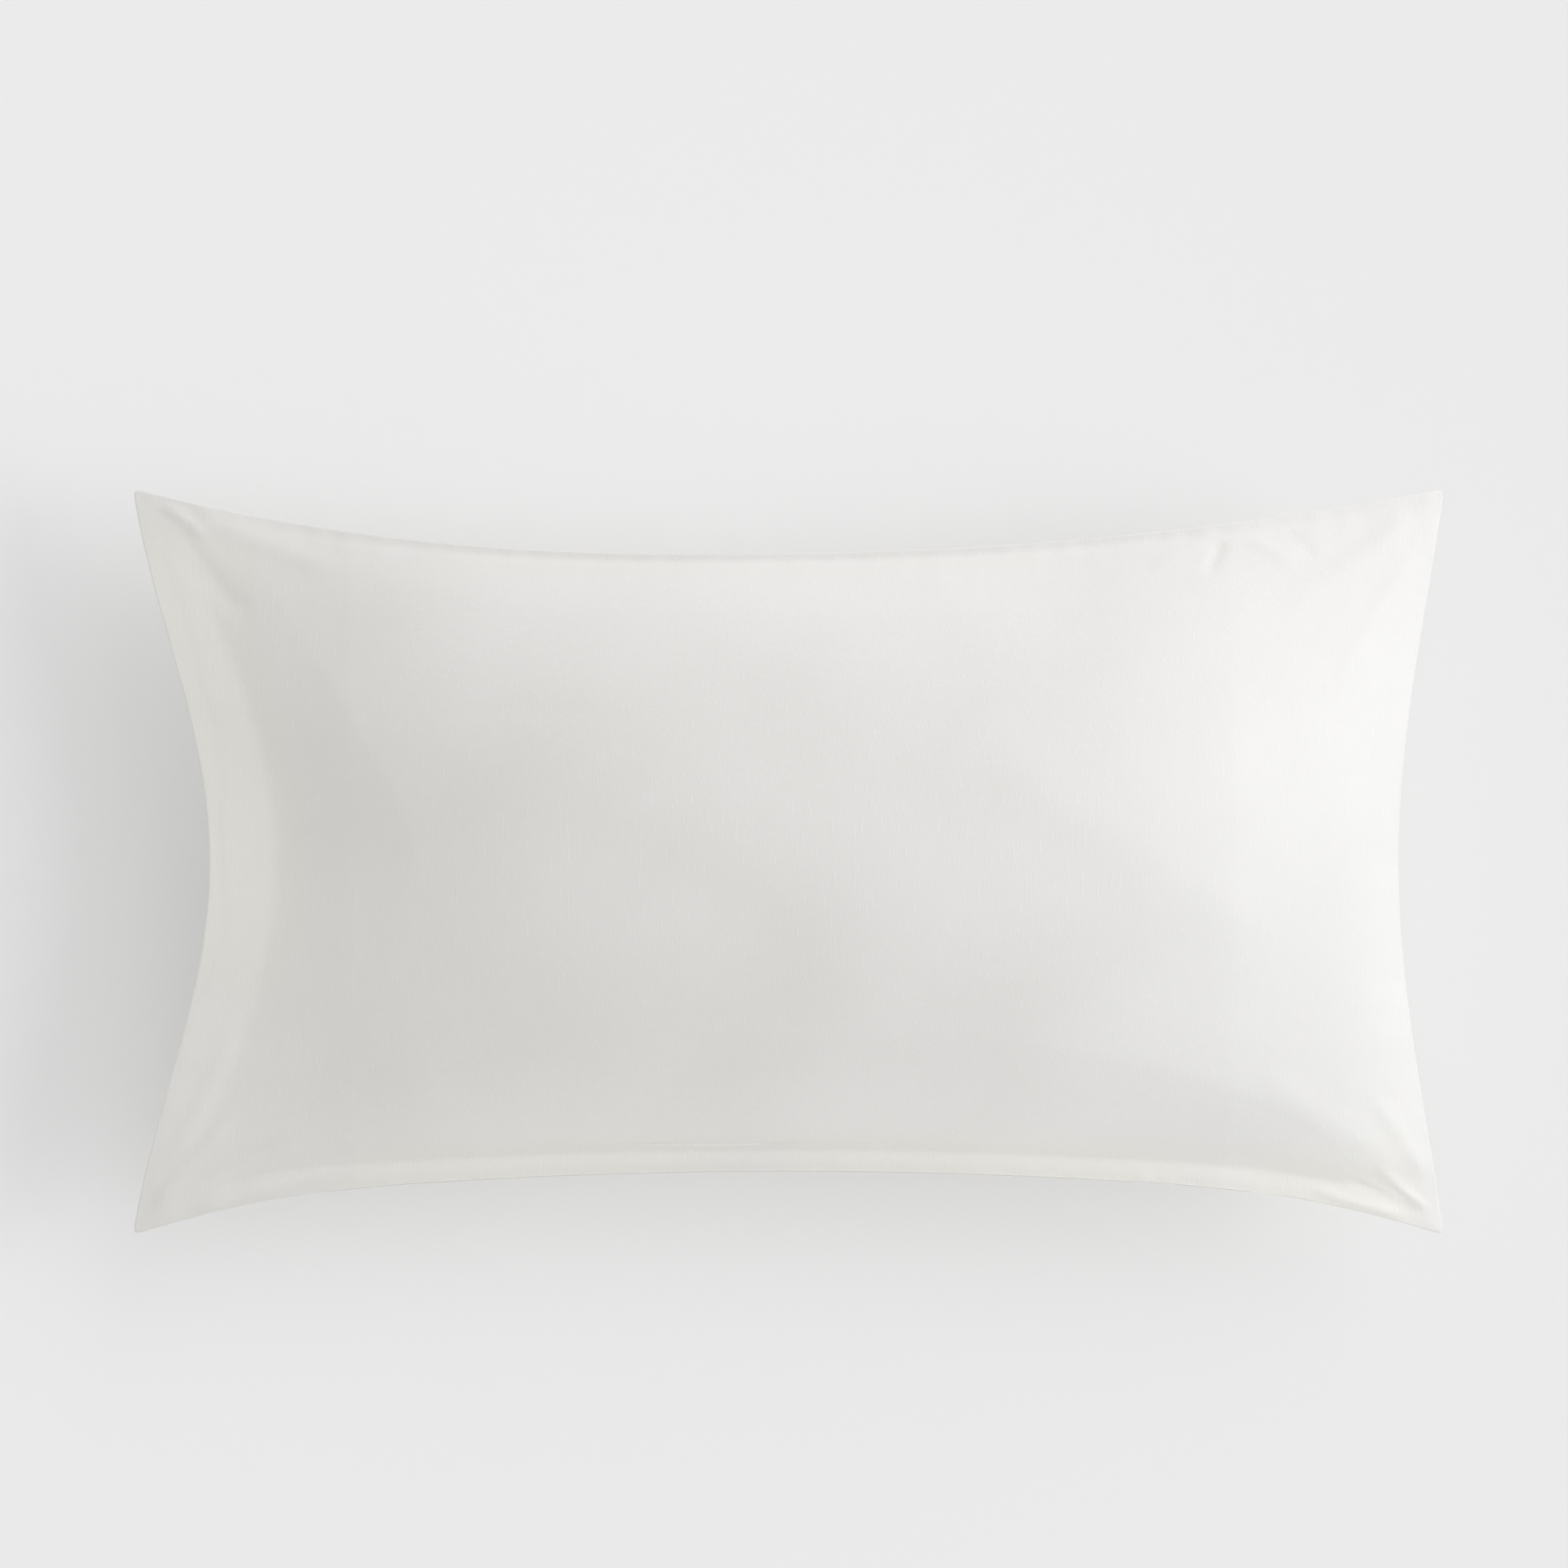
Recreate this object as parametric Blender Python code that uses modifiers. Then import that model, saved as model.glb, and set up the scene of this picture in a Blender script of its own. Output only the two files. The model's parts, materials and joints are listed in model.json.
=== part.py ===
"""A king-size bed pillow: a zipped knife-edge cover over a fibre-filled insert, lying flat.

Run it with  blender --background --python part.py  or from Blender's text editor.

Frame: metres, +Z up, +X along the pillow, +Y across it. The origin is under the middle of the
pillow, on the surface that it lies on. The zip is in the long seam at -Y. That seam's middle
stretch is an arc, so the slider turns about the arc's centre, well outside the pillow.
"""

import math

import bmesh
import bpy

# The cover, measured between the tips of its corners
LENGTH = 0.892
WIDTH = 0.508
THICKNESS = 0.190
SEAM_HEIGHT = 0.085  # the seam above the surface that the pillow lies on
FREE_DEPTH = 0.096  # how far the back would bulge below the seam if nothing pressed on it
END_HOLLOW = 0.043  # how far a short seam curves in at its middle
SIDE_HOLLOW = 0.045  # the same for a long seam
SEAM_RADIUS = 3.83  # of a long seam's middle stretch, the one that holds the zip

# How the domes swell: larger powers along the pillow give a flatter middle
LENGTH_POWER = 3.4
WIDTH_POWER = 2.2
SWELL_POWER = 0.62
END_POWER = 2.6  # of the short seams' curve

# Cloth and thread
COVER_CLOTH = 0.0008
TICKING_CLOTH = 0.0005
LABEL_CLOTH = 0.0003
THREAD = 0.0005  # diameter
GAP = 0.0003  # left between neighbours that touch
COVER_EASE = 0.0025  # between the cover and the insert
FILL_EASE = 0.0060  # between the insert's ticking and its filling
CORNER_ROUNDING = 0.12  # how far the filling stays out of the insert's corners, as a share
ALLOWANCE = 0.012  # of the cover's plain seams
ZIP_ALLOWANCE = 0.025  # of the seam with the zip
INSERT_ALLOWANCE = 0.008
STITCH_INSET = 0.0015  # from a seam's edge to its thread
CLOSING_LENGTH = 0.150  # of the stitching that shuts the insert once it is filled

# The zip, in the -Y seam
ZIP_LENGTH = 0.490  # between the stops
TAPE_TAIL = 0.015  # past the stops at each end
TAPE_WIDTH = 0.012
TAPE_CLOTH = 0.00035
COIL_DIAMETER = 0.0017
STOP_LENGTH = 0.0025
ZIP_RAMP = 0.045  # over which the seam closes up past each end of the tape

# The slider and its pull tab
SLIDER_LENGTH = 0.0090
SLIDER_PLATE = 0.0010
SLIDER_FLANGE = 0.0005
NECK_WIDTH = 0.0024
NECK_THICKNESS = 0.0006
NECK_FORWARD = 0.0022  # from the slider's middle towards the closed end
PIVOT_DEPTH = 0.0026  # inwards from the cover's edge, so that the edge laps over the tab
EYE_RADIUS = 0.0018
EYE_HOLE_RADIUS = 0.00115
TAB_LENGTH = 0.0180
TAB_WIDTH = 0.0046
TAB_BASE_WIDTH = 0.0032
TAB_THICKNESS = 0.0010
TAB_BAR = 0.0012  # the bar that runs through the slider's eye
WEB_DEPTH = 0.0054  # inwards from the cover's edge to the tape's folded edge

# The labels, both blank
CARE_LABEL = (0.045, 0.030)
INSERT_LABEL = (0.070, 0.050)
LABEL_START = 0.96  # of the way from a dome's middle to its edge

# How finely the soft shapes are cut
PANEL_CELLS = (26, 16)
INSERT_CELLS = PANEL_CELLS
LABEL_CELLS = (4, 4)
EDGE_CROWDING = 0.6  # 0 spaces a panel's cells evenly, and 1 crowds them to its edges
OUTLINE_ROUNDS = 6  # of settling a point whose x and y depend on each other

# Worked out from the above
HALF_LENGTH = LENGTH / 2
HALF_WIDTH = WIDTH / 2
MIDDLE_HALF_WIDTH = HALF_WIDTH - SIDE_HOLLOW
ARC_REACH = ZIP_LENGTH / 2 + TAPE_TAIL  # the arc runs this far from the middle
ARC_CENTRE_Y = -MIDDLE_HALF_WIDTH - SEAM_RADIUS
SLIT_HALF = NECK_THICKNESS / 2 + GAP  # half of the way between the two coils
FLANGE_INSIDE = SLIT_HALF + COIL_DIAMETER + GAP
FLANGE_OUTSIDE = FLANGE_INSIDE + SLIDER_FLANGE
TAPE_INSIDE = FLANGE_OUTSIDE + GAP
POCKET_HALF = TAPE_INSIDE + TAPE_CLOTH + GAP  # half of the room between the lips at the zip
PLAIN_HALF = THREAD / 2 + GAP  # the same at a plain seam
INSERT_LIP_HALF = PLAIN_HALF + TICKING_CLOTH
DOME_HALF = INSERT_LIP_HALF + GAP  # where the cover's domes start, so that the insert's lip fits
COIL_DEPTH = WEB_DEPTH + TAPE_CLOTH + GAP + COIL_DIAMETER / 2
PLATE_DEPTH = COIL_DEPTH + COIL_DIAMETER / 2 + GAP
CLOSED_ANGLE = (ZIP_LENGTH / 2 - GAP - SLIDER_LENGTH / 2) / SEAM_RADIUS


# ---------------------------------------------------------------- scene and materials


def clear_scene():
    for obj in list(bpy.data.objects):
        bpy.data.objects.remove(obj, do_unlink=True)


def new_collection(name):
    collection = bpy.data.collections.new(name)
    bpy.context.scene.collection.children.link(collection)
    return collection


def new_material(name, color, roughness, metallic=0.0):
    material = bpy.data.materials.new(name)
    material.use_nodes = True
    shader = material.node_tree.nodes["Principled BSDF"]
    shader.inputs["Base Color"].default_value = (*color, 1.0)
    shader.inputs["Roughness"].default_value = roughness
    shader.inputs["Metallic"].default_value = metallic
    return material


def add_object(name, data, look, collection):
    """An object for finished mesh or curve data, with a material of its own."""
    obj = bpy.data.objects.new(name, data)
    if look is not None:
        data.materials.append(new_material(name, *look))
    collection.objects.link(obj)
    return obj


def add_mesh(name, bm, look, collection):
    mesh = bpy.data.meshes.new(name)
    bm.to_mesh(mesh)
    bm.free()
    return add_object(name, mesh, look, collection)


COVER_LOOK = ((0.86, 0.84, 0.80), 0.85)
TICKING_LOOK = ((0.90, 0.90, 0.90), 0.80)
THREAD_LOOK = ((0.88, 0.86, 0.82), 0.60)
TAPE_LOOK = ((0.84, 0.83, 0.80), 0.75)
COIL_LOOK = ((0.88, 0.87, 0.85), 0.45)
LABEL_LOOK = ((0.93, 0.93, 0.92), 0.55)
FILL_LOOK = ((0.95, 0.95, 0.95), 0.95)
METAL_LOOK = ((0.75, 0.75, 0.76), 0.25, 1.0)


# ---------------------------------------------------------------- the pillow's form


def arc_sag(x):
    """How far the long seam's arc has moved outwards from its middle, at x."""
    return SEAM_RADIUS - math.sqrt(SEAM_RADIUS**2 - x**2)


def side_inset(x):
    """How far a long seam lies inside the line through its corners: an arc that steepens to them."""
    left = SIDE_HOLLOW - arc_sag(HALF_LENGTH)
    past = max(0.0, abs(x) - ARC_REACH) / (HALF_LENGTH - ARC_REACH)
    return SIDE_HOLLOW - arc_sag(min(abs(x), HALF_LENGTH)) - left * past**2


def end_inset(y):
    """How far a short seam lies inside the line through its corners."""
    return END_HOLLOW * (1 - min(1.0, abs(y) / HALF_WIDTH) ** END_POWER)


def swell(a, b):
    """0 at a dome's edge and 1 at its middle."""
    along = 1 - min(1.0, abs(a)) ** LENGTH_POWER
    across = 1 - min(1.0, abs(b)) ** WIDTH_POWER
    return (along * across) ** SWELL_POWER


def spread(a, b, end_margin, side_margin, zip_margin):
    """The plan position of (a, b), each from -1 to 1, on an outline that far inside the cover's."""
    margin = side_margin if b > 0 else zip_margin
    x, y = a * HALF_LENGTH, b * HALF_WIDTH
    for _ in range(OUTLINE_ROUNDS):
        x = a * (HALF_LENGTH - end_margin - end_inset(y))
        y = b * (HALF_WIDTH - margin - side_inset(x))
    return x, y


def zip_room(x, narrow):
    """Half of the room between the lips of the zip's seam, which is narrow away from the zip."""
    past = max(0.0, abs(x) - ARC_REACH - LENGTH / PANEL_CELLS[0])
    share = max(0.0, 1 - past / ZIP_RAMP)
    return narrow + (POCKET_HALF - narrow) * share


def crowded(s, cells):
    """(place in the dome from -1 to 1, whether it is past the dome) for an even grid's coordinate."""
    dome = 1 - 2 / cells
    inner = max(-1.0, min(1.0, s / dome))
    eased = EDGE_CROWDING * math.sin(inner * math.pi / 2) + (1 - EDGE_CROWDING) * inner
    return eased, abs(s) > dome + 1e-6


def cover_point(s, t, up):
    """A point on the outside of the cover's front (up is 1) or back (up is -1)."""
    a, end_lip = crowded(s, PANEL_CELLS[0])
    b, side_lip = crowded(t, PANEL_CELLS[1])
    end_margin = 0.0 if end_lip else ALLOWANCE
    side_margin = 0.0 if side_lip else ALLOWANCE
    zip_margin = 0.0 if side_lip else ZIP_ALLOWANCE
    x, y = spread(a, b, end_margin, side_margin, zip_margin)
    room = PLAIN_HALF if end_lip or side_lip else DOME_HALF
    if b < -0.999:
        room = zip_room(x, room)
    return x, y, cover_height(a, b, room + COVER_CLOTH, up)


def cover_height(a, b, base, up):
    if up > 0:
        return SEAM_HEIGHT + base + (THICKNESS - SEAM_HEIGHT - DOME_HALF - COVER_CLOTH) * swell(a, b)
    return max(0.0, SEAM_HEIGHT - base - (FREE_DEPTH - base) * swell(a, b))


def insert_point(s, t, up, shrink=0.0, cells=INSERT_CELLS):
    """The same for the insert, whose own lip lies just inside the cover's allowances."""
    a, end_lip = crowded(s, cells[0])
    b, side_lip = crowded(t, cells[1])
    lip = INSERT_ALLOWANCE + shrink
    ease = COVER_EASE + (0.0 if end_lip else lip)
    side_ease = COVER_EASE + (0.0 if side_lip else lip)
    x, y = spread(a, b, ALLOWANCE + ease, ALLOWANCE + side_ease, ZIP_ALLOWANCE + side_ease)
    return x, y, insert_height(a, b, up, shrink)


def insert_height(a, b, up, shrink):
    base = max(GAP, INSERT_LIP_HALF - shrink)
    if up > 0:
        rise = THICKNESS - SEAM_HEIGHT - COVER_CLOTH - COVER_EASE - shrink
        return SEAM_HEIGHT + max(base, rise * swell(a, b))
    bottom = COVER_CLOTH + COVER_EASE + shrink
    depth = FREE_DEPTH - bottom
    return max(bottom, SEAM_HEIGHT - max(base, depth * swell(a, b)))


def between(a, b, up):
    """Halfway between the cover's dome and the insert's, where a label lies."""
    inset = COVER_EASE + INSERT_ALLOWANCE
    outer = spread(a, b, ALLOWANCE, ALLOWANCE, ZIP_ALLOWANCE)
    inner = spread(a, b, ALLOWANCE + inset, ALLOWANCE + inset, ZIP_ALLOWANCE + inset)
    heights = cover_height(a, b, DOME_HALF, up), insert_height(a, b, up, 0.0)
    x, y = ((o + i) / 2 for o, i in zip(outer, inner))
    return x, y, sum(heights) / 2


# ---------------------------------------------------------------- builders


def add_sheet(name, cells, point, up, cloth, look, collection):
    """A grid laid on point(s, t) and thickened inwards to a cloth's thickness."""
    bm = bmesh.new()
    bmesh.ops.create_grid(bm, x_segments=cells[0], y_segments=cells[1], size=1.0)
    for vert in bm.verts:
        vert.co = point(vert.co.x, vert.co.y)
    if up < 0:
        bmesh.ops.reverse_faces(bm, faces=bm.faces)
    obj = add_mesh(name, bm, look, collection)
    obj.data.shade_smooth()
    thicken = obj.modifiers.new("cloth", "SOLIDIFY")
    thicken.thickness = cloth
    thicken.offset = -1.0
    return obj


def add_tube(name, points, diameter, look, collection, resolution=2):
    curve = bpy.data.curves.new(name, "CURVE")
    curve.dimensions = "3D"
    curve.fill_mode = "FULL"
    curve.bevel_depth = diameter / 2
    curve.bevel_resolution = resolution
    curve.use_fill_caps = True
    spline = curve.splines.new("POLY")
    spline.points.add(len(points) - 1)
    for target, point in zip(spline.points, points):
        target.co = (*point, 1.0)
    return add_object(name, curve, look, collection)


def box_bmesh(low, high):
    bm = bmesh.new()
    bmesh.ops.create_cube(bm, size=1.0)
    for vert in bm.verts:
        vert.co = [a + (c + 0.5) * (b - a) for c, a, b in zip(vert.co, low, high)]
    return bm


def arc_point(x, depth, height):
    """A point beside the zip: x along the seam, depth inwards from the cover's edge."""
    angle = x / SEAM_RADIUS
    radius = SEAM_RADIUS + depth
    return radius * math.sin(angle), ARC_CENTRE_Y + radius * math.cos(angle), SEAM_HEIGHT + height


def arc_points(start, end, depth, height, steps=18):
    return [arc_point(start + (end - start) * i / steps, depth, height) for i in range(steps + 1)]


def bend_along_seam(obj_mesh):
    """Lay a mesh drawn as (along, depth, height) onto the seam's arc."""
    for vert in obj_mesh.verts:
        vert.co = arc_point(*vert.co)


def cut(obj, cutter, operation):
    modifier = obj.modifiers.new(f"{operation.lower()}_{cutter.name}", "BOOLEAN")
    modifier.object = cutter
    modifier.operation = operation
    modifier.solver = "EXACT"
    cutter.hide_render = True
    cutter.display_type = "WIRE"


# ---------------------------------------------------------------- the cover


def build_cover(parts):
    for name, up in (("cover_front_panel", 1), ("cover_back_panel", -1)):
        add_sheet(name, PANEL_CELLS, lambda s, t, up=up: cover_point(s, t, up), up, COVER_CLOTH,
                  COVER_LOOK, parts)
    add_tube("cover_seam_thread", seam_line(STITCH_INSET), THREAD, THREAD_LOOK, parts, 0)


def seam_line(inset, steps=14):
    """The cover's stitching, from one end of the zip round the pillow to the other."""
    end = HALF_LENGTH - inset
    side = HALF_WIDTH - inset
    zip_end = ARC_REACH + GAP
    line = []
    for x in spaced(zip_end, end, steps // 2):
        line.append((x, -(side - side_inset(x))))
    for y in spaced(-side, side, steps)[1:]:
        line.append((end - end_inset(y), y))
    for x in spaced(end, -end, 2 * steps)[1:]:
        line.append((x, side - side_inset(x)))
    for y in spaced(side, -side, steps)[1:]:
        line.append((-(end - end_inset(y)), y))
    for x in spaced(-end, -zip_end, steps // 2)[1:]:
        line.append((x, -(side - side_inset(x))))
    return [(x, y, SEAM_HEIGHT) for x, y in line]


def spaced(start, end, steps):
    return [start + (end - start) * i / steps for i in range(steps + 1)]


def build_care_label(parts):
    """A blank label inside the cover's back, held in the zip seam near the zip's open end."""
    length, width = CARE_LABEL

    def point(s, t):
        return between(-0.5 + s * length / LENGTH, -LABEL_START + (t + 1) * width / WIDTH, -1)

    add_sheet("cover_care_label", LABEL_CELLS, point, -1, LABEL_CLOTH, LABEL_LOOK, parts)


# ---------------------------------------------------------------- the zip


def build_zip(parts):
    for side, up in (("front", 1), ("back", -1)):
        build_tape(f"zip_tape_{side}", up, parts)
        build_coil(f"zip_coil_{side}", up, parts)
        build_zip_stitching(f"zip_stitching_{side}", up, parts)
        build_top_stop(f"zip_top_stop_{side}", up, parts)
    build_bottom_stop(parts)


def build_tape(name, up, parts):
    """A strip that lies on the lip and folds towards the other tape in front of its coil."""
    reach = ARC_REACH - GAP
    inside, outside = TAPE_INSIDE, TAPE_INSIDE + TAPE_CLOTH
    outline = [
        (WEB_DEPTH, SLIT_HALF),
        (WEB_DEPTH + TAPE_CLOTH, SLIT_HALF),
        (WEB_DEPTH + TAPE_CLOTH, inside),
        (WEB_DEPTH + TAPE_WIDTH, inside),
        (WEB_DEPTH + TAPE_WIDTH, outside),
        (WEB_DEPTH, outside),
    ]
    bm = bmesh.new()
    face = bm.faces.new([bm.verts.new((-reach, depth, up * height)) for depth, height in outline])
    moved = bmesh.ops.extrude_face_region(bm, geom=[face], use_keep_orig=True)
    far = [item for item in moved["geom"] if isinstance(item, bmesh.types.BMVert)]
    bmesh.ops.translate(bm, verts=far, vec=(2 * reach, 0, 0))
    along = [e for e in bm.edges if abs(e.verts[0].co.x - e.verts[1].co.x) > reach]
    bmesh.ops.subdivide_edges(bm, edges=along, cuts=17, use_grid_fill=True)
    bmesh.ops.recalc_face_normals(bm, faces=bm.faces)
    bend_along_seam(bm)
    add_mesh(name, bm, TAPE_LOOK, parts)


def build_coil(name, up, parts):
    reach = ZIP_LENGTH / 2
    height = up * (SLIT_HALF + COIL_DIAMETER / 2)
    add_tube(name, arc_points(-reach, reach, COIL_DEPTH, height), COIL_DIAMETER, COIL_LOOK, parts)


def build_zip_stitching(name, up, parts):
    """The line of thread that sews the tape to the lip, halfway across the tape."""
    reach = ARC_REACH - 2 * GAP
    depth = (PLATE_DEPTH + SLIDER_PLATE + WEB_DEPTH + TAPE_WIDTH) / 2
    height = up * (TAPE_INSIDE - GAP - THREAD / 2)
    add_tube(name, arc_points(-reach, reach, depth, height), THREAD, THREAD_LOOK, parts, 0)


def build_top_stop(name, up, parts):
    """A crimp past the end of one coil, where the slider comes to rest."""
    start = ZIP_LENGTH / 2 + GAP
    low, high = sorted((up * SLIT_HALF, up * FLANGE_INSIDE))
    bm = box_bmesh((start, COIL_DEPTH - COIL_DIAMETER / 2, low),
                   (start + STOP_LENGTH, COIL_DEPTH + COIL_DIAMETER / 2, high))
    bend_along_seam(bm)
    add_mesh(name, bm, METAL_LOOK, parts)


def build_bottom_stop(parts):
    """The staple across both coils' ends, where the zip stops opening."""
    start = -ZIP_LENGTH / 2 - GAP
    bm = box_bmesh((start - STOP_LENGTH, COIL_DEPTH - COIL_DIAMETER / 2, -FLANGE_INSIDE),
                   (start, COIL_DEPTH + COIL_DIAMETER / 2, FLANGE_INSIDE))
    bend_along_seam(bm)
    add_mesh("zip_bottom_stop", bm, METAL_LOOK, parts)


def build_slider(parts, cutters):
    """A channel behind both coils, with a neck between them that ends in the tab's eye."""
    axis = bpy.data.objects.new("zip_travel_axis", None)
    axis.location = (0, ARC_CENTRE_Y, SEAM_HEIGHT)
    axis.rotation_euler = (0, 0, -CLOSED_ANGLE)
    parts.objects.link(axis)

    def piece(name, bm, collection=cutters, look=None):
        obj = add_mesh(name, bm, look, collection)
        obj.parent = axis
        obj.location = (0, SEAM_RADIUS, 0)
        return obj

    half = SLIDER_LENGTH / 2
    front = COIL_DEPTH - COIL_DIAMETER / 2
    back = PLATE_DEPTH + SLIDER_PLATE
    body = piece("zip_slider", box_bmesh((-half, front, -FLANGE_OUTSIDE), (half, back, FLANGE_OUTSIDE)),
                 parts, METAL_LOOK)
    channel = box_bmesh((-half - GAP, front - GAP, -FLANGE_INSIDE), (half + GAP, PLATE_DEPTH, FLANGE_INSIDE))
    cut(body, piece("slider_channel", channel), "DIFFERENCE")
    neck = box_bmesh((NECK_FORWARD - NECK_WIDTH / 2, PIVOT_DEPTH + EYE_HOLE_RADIUS, -NECK_THICKNESS / 2),
                     (NECK_FORWARD + NECK_WIDTH / 2, back - SLIDER_PLATE / 2, NECK_THICKNESS / 2))
    cut(body, piece("slider_neck", neck), "UNION")
    cut(body, piece("slider_eye", disc_bmesh(EYE_RADIUS, NECK_THICKNESS)), "UNION")
    cut(body, piece("slider_eye_hole", disc_bmesh(EYE_HOLE_RADIUS, 2 * NECK_THICKNESS)), "DIFFERENCE")
    return axis


def disc_bmesh(radius, thickness, segments=24):
    """A flat disc about the tab's pivot, in the slider's own frame."""
    bm = bmesh.new()
    bmesh.ops.create_cone(bm, cap_ends=True, segments=segments, radius1=radius, radius2=radius,
                          depth=thickness)
    bmesh.ops.translate(bm, verts=bm.verts, vec=(NECK_FORWARD, PIVOT_DEPTH, 0))
    return bm


def build_pull_tab(parts, axis):
    """A flat drop-shaped tab whose end bar runs through the slider's eye, lying along the seam."""
    curve = bpy.data.curves.new("zip_pull_tab", "CURVE")
    curve.dimensions = "2D"
    curve.fill_mode = "BOTH"
    curve.extrude = TAB_THICKNESS / 2
    add_outline(curve, tab_outline())
    add_outline(curve, tab_window())
    tab = add_object("zip_pull_tab", curve, METAL_LOOK, parts)
    tab.parent = axis
    tab.location = (NECK_FORWARD, SEAM_RADIUS + PIVOT_DEPTH, 0)
    tab.rotation_euler = (math.pi / 2, 0, 0)


def tab_outline(arc_steps=10):
    round_x = TAB_LENGTH - TAB_WIDTH / 2
    points = [(-TAB_BAR / 2, TAB_BASE_WIDTH / 2), (-TAB_BAR / 2, -TAB_BASE_WIDTH / 2)]
    for i in range(arc_steps + 1):
        angle = -math.pi / 2 + math.pi * i / arc_steps
        points.append((round_x + TAB_WIDTH / 2 * math.cos(angle), TAB_WIDTH / 2 * math.sin(angle)))
    return points


def tab_window():
    """The opening that the slider's eye reaches through."""
    near, far = TAB_BAR / 2, EYE_RADIUS + 2 * GAP
    half = NECK_THICKNESS / 2 + GAP
    return [(near, half), (far, half), (far, -half), (near, -half)]


def add_outline(curve, points):
    spline = curve.splines.new("POLY")
    spline.points.add(len(points) - 1)
    for target, (x, y) in zip(spline.points, points):
        target.co = (x, y, 0, 1)
    spline.use_cyclic_u = True


# ---------------------------------------------------------------- the insert


def build_insert(parts):
    for name, up in (("insert_front_panel", 1), ("insert_back_panel", -1)):
        add_sheet(name, INSERT_CELLS, lambda s, t, up=up: insert_point(s, t, up), up, TICKING_CLOTH,
                  TICKING_LOOK, parts)
    build_insert_threads(parts)
    build_insert_label(parts)
    build_fill(parts)


def insert_edge(a, b):
    """A point of the insert's stitching, with a or b at 1 or -1."""
    margin = COVER_EASE + STITCH_INSET
    x, y = spread(a, b, ALLOWANCE + margin, ALLOWANCE + margin, ZIP_ALLOWANCE + margin)
    return x, y, SEAM_HEIGHT


def build_insert_threads(parts):
    """The seam, and the short length at the -X end that is sewn last, after filling."""
    closing = CLOSING_LENGTH / WIDTH
    seam = [insert_edge(-1, b) for b in spaced(-closing - 2 * GAP, -1, 6)]
    seam += [insert_edge(a, -1) for a in spaced(-1, 1, 24)[1:]]
    seam += [insert_edge(1, b) for b in spaced(-1, 1, 14)[1:]]
    seam += [insert_edge(a, 1) for a in spaced(1, -1, 24)[1:]]
    seam += [insert_edge(-1, b) for b in spaced(1, closing + 2 * GAP, 6)[1:]]
    add_tube("insert_seam_thread", seam, THREAD, THREAD_LOOK, parts, 0)
    last = [insert_edge(-1, b) for b in spaced(-closing + 2 * GAP, closing - 2 * GAP, 6)]
    add_tube("insert_closing_thread", last, THREAD, THREAD_LOOK, parts, 0)


def build_insert_label(parts):
    """A blank label on the insert's front, at its +X end."""
    length, width = INSERT_LABEL

    def point(s, t):
        return between(LABEL_START + (s - 1) * length / LENGTH, t * width / WIDTH, 1)

    add_sheet("insert_label", LABEL_CELLS, point, 1, LABEL_CLOTH, LABEL_LOOK, parts)


def build_fill(parts):
    """The fibre filling: one closed body that fills the insert's panels."""
    columns, rows = INSERT_CELLS
    shrink = TICKING_CLOTH + FILL_EASE
    bm = bmesh.new()
    bmesh.ops.create_cube(bm, size=2.0)
    for direction, cells in ((0, columns), (1, rows)):
        edges = [e for e in bm.edges if abs(e.verts[0].co[direction] - e.verts[1].co[direction]) > 1]
        bmesh.ops.subdivide_edges(bm, edges=edges, cuts=cells - 3, use_grid_fill=True)
    for vert in bm.verts:
        up = 1 if vert.co.z > 0 else -1
        s = vert.co.x * (1 - 2 / columns) * math.sqrt(1 - CORNER_ROUNDING * vert.co.y**2)
        t = vert.co.y * (1 - 2 / rows) * math.sqrt(1 - CORNER_ROUNDING * vert.co.x**2)
        vert.co = insert_point(s, t, up, shrink)
    add_mesh("fibre_fill", bm, FILL_LOOK, parts)


# ---------------------------------------------------------------- the whole pillow


def main():
    clear_scene()
    parts = new_collection("bed_pillow")
    cutters = new_collection("cutters")
    build_cover(parts)
    build_care_label(parts)
    build_zip(parts)
    axis = build_slider(parts, cutters)
    build_pull_tab(parts, axis)
    build_insert(parts)


main()
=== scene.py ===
import json
import math

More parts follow.
